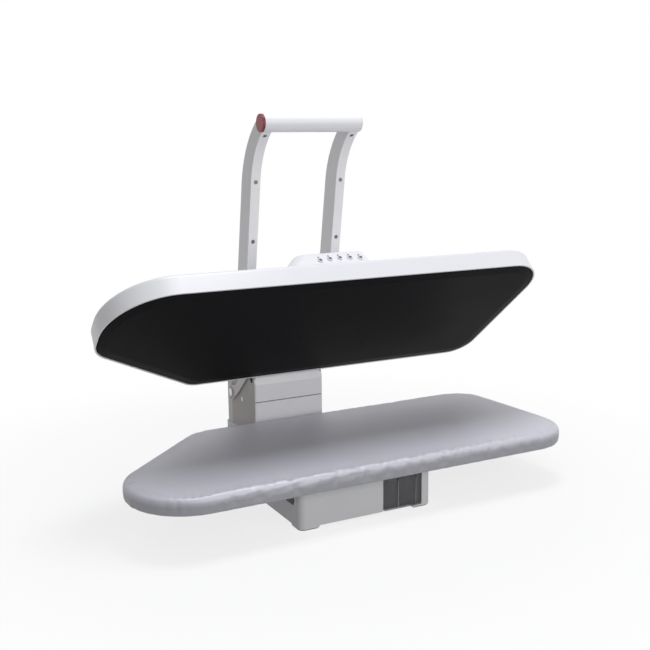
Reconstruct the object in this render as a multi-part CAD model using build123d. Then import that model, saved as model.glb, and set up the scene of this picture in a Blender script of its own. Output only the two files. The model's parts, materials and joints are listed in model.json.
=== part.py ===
from build123d import *
import os
from math import acos, asin, atan2, cos, degrees, hypot, radians, sin

# Steam ironing press: a padded board on a water-tank base, and a heated head that swings up on a rear hinge.
# X runs to the right, Y to the rear, Z up. The head and the handle are drawn here as they stand open.
# Everything is drawn about the middle of the base's footprint on the floor. Each node is then moved as it is
# saved, so that the origin lies under the middle of the whole press as seen from above.

os.makedirs("parts", exist_ok=True)

# General fits
overrun = 1.0
running_gap = 0.05
guide_gap = 0.15
sliding_gap = 0.5
cover_gap = 0.6
seam_gap = 1.5

# Press outline seen from above, shared by the board and the heated plate
outline_left = -403.0
outline_length = 829.0
outline_rear = 66.0
outline_depth = 324.0
nose_flat = 165.0
rear_left_back = 204.0
right_slant = 23.0
nose_front_radius = 114.0
nose_tip_radius = 60.0
board_nose_inset = 16.0
board_nose_flat = 141.0
board_front_radius = 103.0
board_tip_radius = 84.0
rear_left_radius = 44.0
front_right_radius = 80.0
rear_right_radius = 48.0

# Base casing
base_width = 252.0
base_depth = 450.0
base_height = 70.0
base_lift = 5.0
base_corner = 12.0
base_wall = 3.0
base_top_round = 5.0
shoulder_height = 50.0
shoulder_gap = 1.0
foot_length = 36.0
foot_depth = 30.0
foot_pad_height = 2.0
foot_pad_inset = 2.0
base_plate_thickness = 2.0
boss_radius = 4.5
boss_hole_radius = 1.4
boss_inset = 14.0
boss_rows = 4

# Finger recesses in the base's side walls
recess_length = 110.0
recess_height = 24.0
recess_depth = 14.0
recess_front = 19.0
recess_bottom = 38.0
recess_wall = 2.0
recess_round = 8.0

# Water tank and its bay
tank_width = 75.6
tank_right_post = 19.8
tank_length = 165.0
tank_wall = 2.2
tank_front_wall = 3.0
tank_fascia_drop = 4.0
tank_round = 4.0
tank_rib_depth = 1.2
tank_rib_width = 3.0
tank_rib_shares = (0.38, 0.84)
tank_neck_radius = 13.0
tank_neck_height = 3.0
tank_neck_back = 60.0
tank_outlet_radius = 6.0
tank_outlet_bore = 3.5
tank_outlet_length = 10.0
tank_outlet_height = 12.0
tank_top_gap = 1.6
tray_wall = 1.6

# Board
board_bottom = 73.0
board_top = 98.6
board_panel_thickness = 4.0
board_panel_gap = 1.8
board_cover_thickness = 1.2
board_cover_hem = 24.0
board_edge_round = 11.0
board_pad_inset = 1.6
post_radius = 12.0
post_side = 92.0
post_front = 40.0
post_rear = 245.0

# Hinge and tilt of the head
hinge_back = 110.2
hinge_z = 134.2
open_tilt = 40.7
shaft_radius = 8.0
shaft_length = 153.0
bush_wall = 2.5
bush_flange = 1.5
bush_flange_radius = 13.0
nut_radius = 12.0
nut_height = 2.5

# Column
column_width = 141.0
column_board_gap = 5.4
column_depth = 141.4
column_wall = 2.5
column_front_round = 2.5
column_rear_round = 5.0
column_front_rise = 100.0
column_top = 226.0
column_seam = 137.0
column_front_wrap = 4.0
column_crown_wrap = 11.0
column_upper_rise = 15.0
column_rear_wrap = 25.0
panel_slot_gap = 1.6
panel_screw_radius = 4.2
panel_screw_height = 1.6
panel_screw_back = 64.8
panel_screw_z = 129.3

# Steel frame inside the column
frame_plate = 3.0
frame_gap = 3.0
frame_front_inset = 6.0
frame_rear_inset = 8.0
frame_top_inset = 9.0
frame_flange = 40.0
frame_opening_gap = 1.2
brace_width = 16.0
brace_back = 20.6
brace_z = 84.0

# Head arms: steel plates outside the column
arm_plate_gap = 0.8
arm_plate_thickness = 3.0
arm_plate_bottom = 117.0
arm_plate_height = 17.0
arm_plate_front = 0.0
arm_eye_radius = 15.0
arm_ear_width = 24.0
arm_slot_gap = 1.0
carrier_thickness = 3.0
carrier_rise = 20.0
carrier_side = 174.0
carrier_inset = 108.0
carrier_rear = 36.0
stud_radius = 4.0
stud_shoulder_radius = 6.0
stud_side = 162.0
stud_inset = 12.0
stud_rear = -14.0
stud_nut_radius = 7.0
stud_nut_height = 4.0
shell_screw_side = 52.0
shell_screw_inset = 12.0
shell_screw_length = 7.2

# Soleplate and what heats it
plate_bevel = 16.0
plate_face_gap = 0.6
plate_bevel_height = 2.2
plate_thickness = 7.4
plate_shell_gap = 2.0
vent_radius = 1.2
vent_rows = 4
vent_columns = 9
chamber_left = -150.0
chamber_length = 300.0
chamber_front = -126.0
chamber_depth = 120.0
chamber_height = 16.0
chamber_wall = 2.0
chamber_round = 14.0
gasket_thickness = 1.5
gasket_width = 6.0
element_radius = 4.2
element_bend = 25.0
element_rear_inset = 28.0
element_front_inset = 53.0
element_left_x = -318.0
element_right_x = 368.0
element_start_x = 240.0
element_end_x = -40.0
element_nose_front_inset = 98.0
element_nose_rear_inset = 188.0
element_left_rear_x = -190.0
thermostat_radius = 11.0
thermostat_height = 9.0
thermostat_x = 200.0
thermostat_y = -70.0

# Head shell
shell_inset = 2.0
shell_height = 37.5
shell_wall = 2.5
shell_draft = 2.0
shell_top_round = 7.0
shell_rim_rise = 2.4

# Control console on the head's front edge
console_left = -103.0
console_width = 165.0
console_inset = 12.0
console_depth = 96.0
console_height = 32.0
console_left_setback = 32.0
console_right_setback = 6.0
console_front_setback = 10.0
console_rear_setback = 26.0
console_wall = 2.2
console_left_round = 20.0
console_right_round = 9.0
console_top_round = 6.0
console_sink = 9.0
button_count = 5
button_radius = 4.6
button_stand = 2.2
button_flange_radius = 5.2
button_flange = 1.0
button_stem = 5.0
button_travel = 1.2
button_spacing = 19.0
button_middle_x = 4.2
button_share = 0.36
button_arc_rise = 3.0
button_edge_round = 0.8
light_radius = 1.5
light_rise = 8.5
light_stand = 0.6
board_card_thickness = 1.6
board_card_width = 81.0
board_card_height = 9.0
switch_gap = 0.3
switch_height = 3.0
switch_side = 4.0

# Handle: two bowed arms and a grip across the top
pivot_ahead = 93.6
pivot_z = 262.0
handle_lean = 10.1
handle_swing = 31.2
handle_straight = 290.5
handle_bow_radius = 148.0
handle_bow_angle = 48.8
handle_depth = 42.0
handle_outer = 92.5
handle_width = 17.5
handle_wall = 2.2
handle_front_thickness = 2.5
handle_end_half = 14.0
rib_depth = 7.0
grip_radius = 15.5
grip_wall = 2.5
core_thickness = 5.0
core_front = 2.0
core_depth = 13.0
core_eye_radius = 13.0
pivot_radius = 5.0
pivot_head_radius = 8.0
pivot_nut_radius = 7.5
pivot_head = 3.5
crank_y = 26.0
crank_z = -56.0
crank_pin_radius = 4.0
crank_eye_radius = 9.0
crank_pin_inner = 59.0
slot_steps = 8
handle_screw_radius = 1.9
handle_screw_head_radius = 3.3
handle_screw_head = 1.6
handle_screw_length = 9.0
handle_screw_sink = 0.6
handle_screw_low = 188.0
handle_screw_bow_shares = (0.04, 0.86)
rib_length = 12.0
button_cap_gap = 1.8
button_cap_thickness = 3.0
button_plug_length = 2.5
steam_stem_radius = 4.0
steam_stem_length = 16.0
steam_travel = 1.5
spring_wire = 0.5
spring_radius = 6.6
spring_turns = 2
end_cap_thickness = 2.5
end_plug_length = 4.5
steam_switch_length = 16.0
steam_switch_side = 12.0
steam_switch_holder = 4.0

# Lift springs that carry the head's weight
lever_radius = 20.0
lever_side = 22.0
lever_thickness = 5.0
lever_hub_radius = 12.5
lever_eye_radius = 5.5
lever_pin_radius = 2.5
lift_wire = 2.0
lift_radius = 6.0
lift_turns = 18
lift_bottom = 38.0
lift_hook = 9.0
spring_knot_share = 0.56
anchor_depth = 10.0

# Pump, hoses and the mains inlet
pump_radius = 15.0
pump_length = 58.0
pump_x = -62.0
pump_y = -40.0
pump_z = 27.0
pump_foot_height = 4.0
pump_foot_width = 34.0
pump_port_radius = 3.0
pump_port_length = 10.0
hose_radius = 3.5
hose_bend = 14.0
riser_x = -31.0
riser_back = 56.6
gland_radius = 9.0
gland_flange_radius = 12.0
gland_flange = 2.5
gland_length = 16.0
gland_bore = 3.6
gland_inset = 48.0
gland_z = 30.0
small_screw_radius = 1.4
small_screw_head_radius = 2.8
small_screw_head = 1.8
small_screw_length = 10.0

# Places that follow from the sizes above
outline_front = outline_rear - outline_depth
outline_right = outline_left + outline_length
base_front = -base_depth / 2
base_rear = base_depth / 2
base_side = base_width / 2
column_side = column_width / 2
column_front = outline_rear + column_board_gap
column_rear = column_front + column_depth
column_front_top = base_height + column_front_rise
hinge_y = column_front + hinge_back
pivot_y = hinge_y - pivot_ahead
panel_screw_y = column_front + panel_screw_back
brace_y = column_front + brace_back
riser_y = column_front + riser_back
gland_x = gland_inset - base_side
tank_right = base_side - tank_right_post
tank_left = tank_right - tank_width
plate_bottom = board_top + plate_face_gap
plate_top = plate_bottom + plate_thickness
bevel_top = plate_bottom + plate_bevel_height
carrier_bottom = plate_top + carrier_rise
shell_bottom = plate_bottom + shell_rim_rise
shell_top = shell_bottom + shell_height
plate_inset = shell_inset + shell_wall + plate_shell_gap
carrier_front = outline_front + carrier_inset
stud_front = carrier_front + stud_inset
element_rear_y = outline_rear - element_rear_inset
element_front_y = outline_front + element_front_inset
element_left_front_y = outline_front + element_nose_front_inset
element_left_rear_y = outline_front + element_nose_rear_inset
console_front = outline_front + console_inset
arm_plate_inner = column_side + arm_plate_gap
arm_plate_outer = arm_plate_inner + arm_plate_thickness
frame_outer = column_side - column_wall - frame_gap
frame_inner = frame_outer - frame_plate
frame_foot = base_lift + base_plate_thickness
handle_inner = handle_outer - handle_width
core_middle = (handle_outer + handle_inner) / 2
core_inner = core_middle - core_thickness / 2
core_outer = core_middle + core_thickness / 2
lever_inner = lever_side + lever_thickness
lever_outer = lever_inner + lever_thickness
tube_bore = grip_radius - grip_wall


def middle_of_press():
    """The middle, seen from above, of the press's overall length and depth."""
    slope = hypot(right_slant, outline_depth) / outline_depth
    rounded_off = right_slant * front_right_radius / outline_depth + front_right_radius * (slope - 1)
    leftmost = outline_left + min(board_nose_inset, shell_inset)
    return (leftmost + outline_right - rounded_off) / 2, (outline_front + base_rear + gland_flange) / 2


def save(name, *solids):
    """Writes one node, a single solid or a group of separate ones."""
    middle_x, middle_y = middle_of_press()
    found = []
    for item in solids:
        found.extend((Location((-middle_x, -middle_y, 0)) * item).solids())
    export_step(Compound(children=found) if len(found) > 1 else found[0], os.path.join("parts", name + ".step"))


def block(x0, x1, y0, y1, z0, z1):
    """A box between two corners."""
    middle = Location(((x0 + x1) / 2, (y0 + y1) / 2, (z0 + z1) / 2))
    return middle * Box(abs(x1 - x0), abs(y1 - y0), abs(z1 - z0))


def disc_x(x0, x1, y, z, radius):
    """A cylinder along X."""
    return Location(((x0 + x1) / 2, y, z)) * Rotation(0, 90, 0) * Cylinder(radius, abs(x1 - x0))


def disc_y(x, y0, y1, z, radius):
    """A cylinder along Y."""
    return Location((x, (y0 + y1) / 2, z)) * Rotation(90, 0, 0) * Cylinder(radius, abs(y1 - y0))


def disc_z(x, y, z0, z1, radius):
    """A cylinder along Z."""
    return Location((x, y, (z0 + z1) / 2)) * Cylinder(radius, abs(z1 - z0))


def side_plate(face, x0, x1):
    """A plate drawn in the side view, with Y to the right and Z up, between two places along X."""
    return Plane(origin=(min(x0, x1), 0, 0), x_dir=(0, 1, 0), z_dir=(1, 0, 0)) * extrude(face, abs(x1 - x0))


def mirrored(solid):
    """The same piece on the other side of the middle plane."""
    return mirror(solid, about=Plane.YZ)


def opened(solid):
    """Turns a piece of the head from closed to open."""
    at_hinge = Location((0, hinge_y, hinge_z))
    back = Location((0, -hinge_y, -hinge_z))
    return at_hinge * Rotation(-open_tilt, 0, 0) * back * solid


def closed_point(y, z):
    """The place that an open point of the head has when the head is closed."""
    angle = radians(open_tilt)
    across = y - hinge_y
    up = z - hinge_z
    return hinge_y + across * cos(angle) - up * sin(angle), hinge_z + across * sin(angle) + up * cos(angle)


def press_outline(inset, left=outline_left, flat=nose_flat, front=nose_front_radius, tip=nose_tip_radius):
    """The press outline seen from above, drawn in by an inset, with the nose's place, straight run and radii."""
    corners = [
        (left, outline_front),
        (outline_right, outline_front),
        (outline_right - right_slant, outline_rear),
        (outline_left + rear_left_back, outline_rear),
        (left, outline_front + flat),
    ]
    radii = [front, front_right_radius, rear_right_radius, rear_left_radius, tip]
    face = make_face(FilletPolyline(*corners, radius=radii, close=True))
    return offset(face, -inset) if inset else face


def slab(inset, z0, z1, draft=0):
    """The press outline raised between two heights."""
    return Location((0, 0, z0)) * extrude(press_outline(inset), z1 - z0, taper=draft)


def board_slab(inset, z0, z1):
    """The board's own outline, which is rounder at the nose, raised between two heights."""
    outline = press_outline(inset, outline_left + board_nose_inset, board_nose_flat, board_front_radius,
                            board_tip_radius)
    return Location((0, 0, z0)) * extrude(outline, z1 - z0)


def base_footprint(inset):
    """The base's rounded rectangle, drawn in by an inset."""
    return RectangleRounded(base_width - 2 * inset, base_depth - 2 * inset, base_corner - inset)


def top_edges(solid, height):
    """The edges that lie at one height."""
    return solid.edges().filter_by(lambda edge: abs(edge.center().Z - height) < running_gap)


def boss_places():
    """Where screws join the base plate to the casing."""
    side = base_side - boss_inset
    run = base_depth - 2 * (foot_depth + boss_inset)
    return [
        (sign * side, -run / 2 + row * run / (boss_rows - 1))
        for sign in (-1, 1)
        for row in range(boss_rows)
    ]


def boss_reach(y):
    """How high a screw boss may rise without meeting a finger recess or the casing's top."""
    beside_recess = base_front + recess_front - boss_radius < y < base_front + recess_front + recess_length + boss_radius
    if beside_recess:
        return recess_bottom - recess_wall
    return (shoulder_height if y > column_front else base_height) - base_wall


def above_shoulders(grow):
    """The room above the casing's low shoulders beside and behind the column, grown by a length."""
    inner = column_side + shoulder_gap - grow
    outer = base_side + overrun
    low = shoulder_height - grow
    high = base_height + overrun
    room = block(-outer, outer, column_front - grow, base_rear + overrun, low, high)
    return room - block(-inner, inner, base_front, column_rear + shoulder_gap - grow, low - overrun, high + overrun)


def make_base():
    """Casing with the posts that carry the board, bottom plate, feet and their screws."""
    body = Location((0, 0, base_lift)) * extrude(base_footprint(0), base_height - base_lift)
    body = fillet(top_edges(body, base_height), base_top_round) - above_shoulders(0)
    hollow = Location((0, 0, base_lift)) * extrude(base_footprint(base_wall), base_height - base_wall - base_lift)
    shell = body - (hollow - above_shoulders(base_wall))
    pocket_front = base_front + recess_front
    pocket_rear = pocket_front + recess_length
    pocket_top = recess_bottom + recess_height
    for sign in (-1, 1):
        inner = sign * (base_side - recess_depth)
        liner = block(inner - sign * recess_wall, sign * (base_side - base_wall), pocket_front - recess_wall,
                      pocket_rear + recess_wall, recess_bottom - recess_wall, pocket_top + recess_wall)
        pocket = block(inner, sign * (base_side + overrun), pocket_front, pocket_rear, recess_bottom, pocket_top)
        pocket = fillet(pocket.edges().filter_by(Axis.X), recess_round)
        shell = shell + liner - pocket
    shell -= block(tank_left - sliding_gap, tank_right + sliding_gap, base_front - overrun, base_front + base_wall + overrun,
                   base_lift - overrun, base_height - base_wall)
    shell -= block(-frame_outer - frame_opening_gap, frame_outer + frame_opening_gap,
                   column_front + frame_front_inset - frame_opening_gap,
                   column_rear - column_wall - frame_opening_gap, base_height - base_wall - overrun, base_height + overrun)
    for x, y in boss_places():
        boss = disc_z(x, y, frame_foot, boss_reach(y), boss_radius)
        shell = shell + boss - disc_z(x, y, frame_foot - overrun, frame_foot + small_screw_length, boss_hole_radius)
    feet = []
    corner_block = Location((0, 0, foot_pad_height)) * extrude(base_footprint(0), base_lift - foot_pad_height)
    pad_block = extrude(base_footprint(foot_pad_inset), foot_pad_height)
    pads = []
    for sx in (-1, 1):
        for sy in (-1, 1):
            reach = block(sx * (base_side - foot_length), sx * (base_side + overrun), sy * (base_rear - foot_depth),
                          sy * (base_rear + overrun), 0, base_lift)
            feet.append(corner_block & reach)
            pad_reach = block(sx * (base_side - foot_length + foot_pad_inset), sx * (base_side + overrun),
                              sy * (base_rear - foot_depth + foot_pad_inset), sy * (base_rear + overrun), 0, base_lift)
            pads.append(pad_block & pad_reach)
    for foot in feet:
        shell += foot
    for sign in (-1, 1):
        for y in (base_front + post_front, base_front + post_rear):
            shell += disc_z(sign * post_side, y, base_height - base_wall, board_bottom + board_panel_gap, post_radius)
    shell -= disc_y(gland_x, base_rear - 2 * base_wall, base_rear + overrun, gland_z, gland_radius + running_gap)
    save("base_casing", shell)
    save("foot_pads", *pads)

    plate = Location((0, 0, base_lift)) * extrude(base_footprint(base_wall + running_gap), base_plate_thickness)
    plate -= block(tank_left - sliding_gap, base_side, base_front, base_front + base_wall * 2 + sliding_gap,
                   0, base_height)
    for x, y in boss_places():
        plate -= disc_z(x, y, base_lift - overrun, frame_foot + overrun, small_screw_radius + running_gap)
    for sx in (-1, 1):
        for sy in (-1, 1):
            plate -= block(sx * (base_side - foot_length), sx * base_side, sy * (base_rear - foot_depth),
                           sy * base_rear, 0, base_lift + running_gap)
    save("base_plate", plate)
    screws = []
    for x, y in boss_places():
        head = disc_z(x, y, base_lift - small_screw_head, base_lift, small_screw_head_radius)
        screws.append(head + disc_z(x, y, base_lift, frame_foot + small_screw_length - overrun, small_screw_radius))
    save("base_screws", *screws)


def make_board():
    """Board panel, foam pad and the fitted cloth cover with its hem turned under."""
    panel_bottom = board_bottom + board_panel_gap
    panel_top = panel_bottom + board_panel_thickness
    save("board_panel", board_slab(board_pad_inset, panel_bottom, panel_top))

    pad_top = board_top - board_cover_thickness
    pad = board_slab(board_pad_inset, panel_top, pad_top)
    pad = fillet(top_edges(pad, pad_top), board_edge_round - board_cover_thickness)
    save("board_pad", pad)

    cover = board_slab(0, board_bottom, board_top)
    cover = fillet(top_edges(cover, board_top), board_edge_round)
    inner = board_slab(board_cover_thickness, board_bottom + board_cover_thickness, pad_top)
    inner = fillet(top_edges(inner, pad_top), board_edge_round - board_cover_thickness)
    hem = board_slab(board_cover_hem, board_bottom - overrun, board_bottom + 2 * board_cover_thickness)
    cover = cover - inner - hem
    save("board_cover", cover)


def tank_profile(inset, y0, y1, z0, z1):
    """A rounded tank box seen from the front."""
    width = tank_width - 2 * inset
    middle = (tank_left + tank_right) / 2
    solid = block(middle - width / 2, middle + width / 2, y0, y1, z0, z1)
    return fillet(solid.edges().filter_by(Axis.Y), tank_round - inset)


def make_tank():
    """The pull-out water tank with its stopper and outlet valve, and the tray and seat that it slides into."""
    floor = frame_foot + tray_wall + sliding_gap
    lid = base_height - base_wall - tray_wall - tank_top_gap
    rear = base_front + tank_length
    body = tank_profile(0, base_front + tank_front_wall, rear, floor, lid)
    fascia_bottom = floor - tank_fascia_drop
    fascia = tank_profile(0, base_front, base_front + tank_front_wall, fascia_bottom, base_height - base_wall - sliding_gap)
    ribs = [
        block(tank_left + share * tank_width, tank_left + share * tank_width + tank_rib_width,
              base_front - tank_rib_depth, base_front, fascia_bottom + tank_round, lid)
        for share in tank_rib_shares
    ]
    hollow = tank_profile(tank_wall, base_front + tank_front_wall + tank_wall, rear - tank_wall,
                          floor + tank_wall, lid - tank_wall)
    tank = body + fascia
    for rib in ribs:
        tank += rib
    middle = (tank_left + tank_right) / 2
    neck_y = rear - tank_neck_back
    tank = tank - hollow - disc_z(middle, neck_y, lid - tank_wall - overrun, lid + overrun, tank_neck_radius)
    outlet_z = floor + tank_outlet_height
    tank -= disc_y(middle, rear - tank_wall - overrun, rear + overrun, outlet_z, tank_outlet_radius)
    save("water_tank", tank)

    stopper = disc_z(middle, neck_y, lid - tank_wall - tank_neck_height, lid, tank_neck_radius - running_gap)
    stopper += disc_z(middle, neck_y, lid, lid + tank_top_gap / 2, tank_neck_radius + tank_wall)
    save("tank_stopper", stopper)

    valve = disc_y(middle, rear - tank_wall - tank_outlet_length / 2, rear, outlet_z, tank_outlet_radius - running_gap)
    valve += disc_y(middle, rear, rear + tank_outlet_length / 2, outlet_z, tank_outlet_bore + tank_wall)
    valve -= disc_y(middle, rear - tank_outlet_length, rear + tank_outlet_length, outlet_z, tank_outlet_bore)
    save("tank_valve", valve)

    outer_left = tank_left - sliding_gap - tray_wall
    outer_right = tank_right + sliding_gap + tray_wall
    tray_front = base_front + base_wall * 2 + sliding_gap + overrun
    tray_rear = rear + tank_outlet_length
    tray = block(outer_left, outer_right, tray_front, tray_rear + tray_wall, frame_foot, base_height - base_wall)
    tray -= block(tank_left - sliding_gap, tank_right + sliding_gap, tray_front - overrun, tray_rear,
                  frame_foot + tray_wall, base_height - base_wall - tray_wall)
    seat_radius = tank_outlet_bore + 2 * tank_wall
    tray -= disc_y(middle, tray_rear - overrun, tray_rear + tray_wall + overrun, outlet_z, seat_radius)
    for x, y in boss_places():
        tray -= disc_z(x, y, frame_foot - overrun, base_height, boss_radius + running_gap)
    pocket_low = recess_bottom - recess_wall - running_gap
    pocket_high = recess_bottom + recess_height + recess_wall + running_gap
    tray -= block(base_side - recess_depth - recess_wall - running_gap, outer_right + overrun,
                  base_front + recess_front - recess_wall - running_gap,
                  base_front + recess_front + recess_length + recess_wall + running_gap, pocket_low, pocket_high)
    save("tank_tray", tray)

    seat = disc_y(middle, tray_rear - tank_outlet_length / 2 + sliding_gap, tray_rear + tray_wall + tank_outlet_length,
                  outlet_z, seat_radius - running_gap)
    seat += disc_y(middle, tray_rear + tray_wall, tray_rear + 2 * tray_wall, outlet_z, seat_radius + tank_wall)
    seat -= disc_y(middle, tray_rear - tank_outlet_length, tray_rear + 2 * tank_outlet_length, outlet_z, tank_outlet_bore)
    save("valve_seat", seat)
    return middle, tray_rear + tray_wall + tank_outlet_length, outlet_z


def pin_path(share):
    """Where the crank pin stands, in Y and Z, when the head has closed by a share of its tilt."""
    tilt = radians(open_tilt * share)
    turn = radians((open_tilt + handle_swing) * share)
    arm_y = pivot_y - hinge_y
    arm_z = pivot_z - hinge_z
    y = hinge_y + arm_y * cos(tilt) - arm_z * sin(tilt)
    z = hinge_z + arm_y * sin(tilt) + arm_z * cos(tilt)
    return (y + crank_y * cos(turn) - crank_z * sin(turn), z + crank_y * sin(turn) + crank_z * cos(turn))


def pin_slot(radius, x0, x1):
    """The curved slot that the crank pin runs in: a run of short rounded links along its path."""
    slot = None
    points = [pin_path(step / slot_steps) for step in range(slot_steps + 1)]
    for start, end in zip(points, points[1:]):
        run = hypot(end[0] - start[0], end[1] - start[1])
        turn = degrees(atan2(end[1] - start[1], end[0] - start[0]))
        middle = ((start[0] + end[0]) / 2, (start[1] + end[1]) / 2)
        link = Location((middle[0], middle[1], 0)) * Rotation(0, 0, turn) * SlotCenterToCenter(run, 2 * radius)
        slot = link if slot is None else slot + link
    return side_plate(slot, x0, x1)


def column_reach():
    """Radius about the hinge of the column's rounded top, just inside what the head sweeps."""
    return hypot(hinge_y - column_front, column_front_top - hinge_z)


def column_profile(inset):
    """The column seen from the side: an upright front, a top rounded about the hinge, and an upright rear."""
    front = column_front + inset
    rear = column_rear - inset
    top = column_top - inset
    reach = column_reach() - inset
    low = acos((hinge_y - front) / reach)
    high = asin((top - hinge_z) / reach)
    middle = (low + high) / 2
    points = [(hinge_y - reach * cos(angle), hinge_z + reach * sin(angle)) for angle in (low, middle, high)]
    lines = [
        Line((front, base_height), points[0]),
        ThreePointArc(*points),
        Line(points[2], (rear, top)),
        Line((rear, top), (rear, base_height)),
        Line((rear, base_height), (front, base_height)),
    ]
    return make_face(Wire(lines))


def column_skin():
    """The column's hollow skin, before it is split into its covers."""
    outer = side_plate(column_profile(0), -column_side, column_side)
    rear_edges = outer.edges().filter_by(lambda edge: edge.center().Y > column_rear - running_gap
                                         and edge.length > column_wall)
    outer = fillet(rear_edges.filter_by(Axis.Z) + rear_edges.filter_by(Axis.X).sort_by(Axis.Z)[-1:], column_rear_round)
    front_edges = outer.edges().filter_by(Axis.Z).filter_by(
        lambda edge: edge.center().Y < column_front + running_gap)
    outer = fillet(front_edges, column_front_round)
    inner = side_plate(column_profile(column_wall), -column_side + column_wall, column_side - column_wall)
    inner_rear = inner.edges().filter_by(lambda edge: edge.center().Y > column_rear - column_wall - running_gap)
    inner = fillet(inner_rear.filter_by(Axis.Z) + inner_rear.filter_by(Axis.X).sort_by(Axis.Z)[-1:],
                   column_rear_round - column_wall)
    return outer - inner


def make_column():
    """The column's covers, with the slots and holes that moving pieces pass through."""
    skin = column_skin()
    far = column_side + overrun
    front_split = column_front + column_front_wrap
    rear_split = column_rear - column_rear_wrap
    top_split = column_top - column_wall - overrun
    lower = skin & block(-far, far, column_front - overrun, front_split, base_height - overrun,
                         column_seam - seam_gap / 2)
    crown_side = column_side - column_wall - cover_gap
    upper_top = column_front_top + column_upper_rise
    reach = block(-far, far, column_front - overrun, front_split, column_seam + seam_gap / 2, upper_top)
    reach += block(-crown_side, crown_side, column_front - overrun, column_front + column_crown_wrap,
                   column_seam + seam_gap / 2, upper_top)
    upper = skin & reach
    save("column_front_lower", lower)
    save("column_front_upper", upper)
    rear = skin & block(-far, far, rear_split, column_rear + overrun, base_height - overrun, column_top + overrun)
    crown = skin & block(-crown_side, crown_side, column_front - overrun, rear_split, upper_top + cover_gap,
                         column_top + overrun)
    crown -= pin_slot(crank_pin_radius + panel_slot_gap, -far, far)
    shaft_room = disc_x(-far, far, hinge_y, hinge_z, shaft_radius + panel_slot_gap)
    save("column_rear_cover", rear + crown - shaft_room)
    panel = skin & block(column_side - column_wall, far, front_split + cover_gap, rear_split - cover_gap,
                         base_height - overrun, column_top + overrun)
    panel -= pin_slot(crank_pin_radius + panel_slot_gap, frame_outer, far)
    panel -= disc_x(frame_outer, far, hinge_y, hinge_z, shaft_radius + panel_slot_gap)
    panel -= disc_x(frame_outer, far, panel_screw_y, panel_screw_z, small_screw_radius + running_gap)
    save("column_side_right", panel)
    save("column_side_left", mirrored(panel))

    screw = disc_x(column_side, column_side + panel_screw_height / 4, panel_screw_y, panel_screw_z, panel_screw_radius)
    screw += disc_x(frame_inner, column_side, panel_screw_y, panel_screw_z, small_screw_radius)
    save("panel_screws", screw, mirrored(screw))


def frame_outline():
    """The steel side plate seen from the side: the column's own outline, drawn in."""
    front = column_front + frame_front_inset
    rear = column_rear - frame_rear_inset
    top = column_top - frame_top_inset
    reach = column_reach() - frame_front_inset
    low = acos((hinge_y - front) / reach)
    high = asin((top - hinge_z) / reach)
    arc = [(hinge_y - reach * cos(angle), hinge_z + reach * sin(angle)) for angle in (low, (low + high) / 2, high)]
    return make_face(Wire([
        Line((front, frame_foot), arc[0]),
        ThreePointArc(*arc),
        Line(arc[2], (rear, top)),
        Line((rear, top), (rear, frame_foot)),
        Line((rear, frame_foot), (front, frame_foot)),
    ]))


def make_frame():
    """The welded steel frame in the column, with the strap that the springs hang on, and its hinge bushes."""
    front = column_front + frame_front_inset
    rear = column_rear - frame_rear_inset
    low_x = frame_inner - overrun
    high_x = frame_outer + overrun
    side = side_plate(frame_outline(), frame_inner, frame_outer)
    side -= pin_slot(crank_pin_radius + guide_gap, low_x, high_x)
    side -= disc_x(low_x, high_x, hinge_y, hinge_z, shaft_radius + bush_wall)
    side -= disc_x(low_x, high_x, panel_screw_y, panel_screw_z, small_screw_radius)
    foot = block(frame_inner - frame_flange, frame_inner, front, rear - 2 * anchor_depth,
                 frame_foot, frame_foot + frame_plate)
    side += foot
    brace = block(-frame_inner, frame_inner, brace_y, brace_y + frame_plate, brace_z, brace_z + brace_width)
    anchor_y = lever_place()[0]
    strap_front = anchor_y - anchor_depth / 2
    strap_rear = anchor_y + anchor_depth / 2
    strap = block(-frame_inner, frame_inner, strap_front, strap_rear, frame_foot, frame_foot + frame_plate)
    for sign in (-1, 1):
        strap += block(sign * lever_inner, sign * lever_outer, strap_front, strap_rear,
                       frame_foot, lift_bottom + lever_eye_radius)
    for stub in spring_stubs(anchor_y, lift_bottom):
        strap += stub
    save("column_frame", side + mirrored(side) + brace + strap)

    bush = disc_x(frame_inner, frame_outer, hinge_y, hinge_z, shaft_radius + bush_wall)
    bush += disc_x(frame_inner - bush_flange, frame_inner, hinge_y, hinge_z, bush_flange_radius)
    bush -= disc_x(frame_inner - bush_flange - overrun, high_x, hinge_y, hinge_z, shaft_radius + running_gap)
    save("hinge_bushes", bush, mirrored(bush))


def lever_place():
    """Where the spring pin stands on its lever when the head is closed, level in Y with its open place."""
    angle = radians(open_tilt / 2)
    return hinge_y + lever_radius * cos(angle), hinge_z + lever_radius * sin(angle)


def spring_top():
    """Height of the spring pin when the head is open."""
    return hinge_z - lever_radius * sin(radians(open_tilt / 2))


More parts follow.
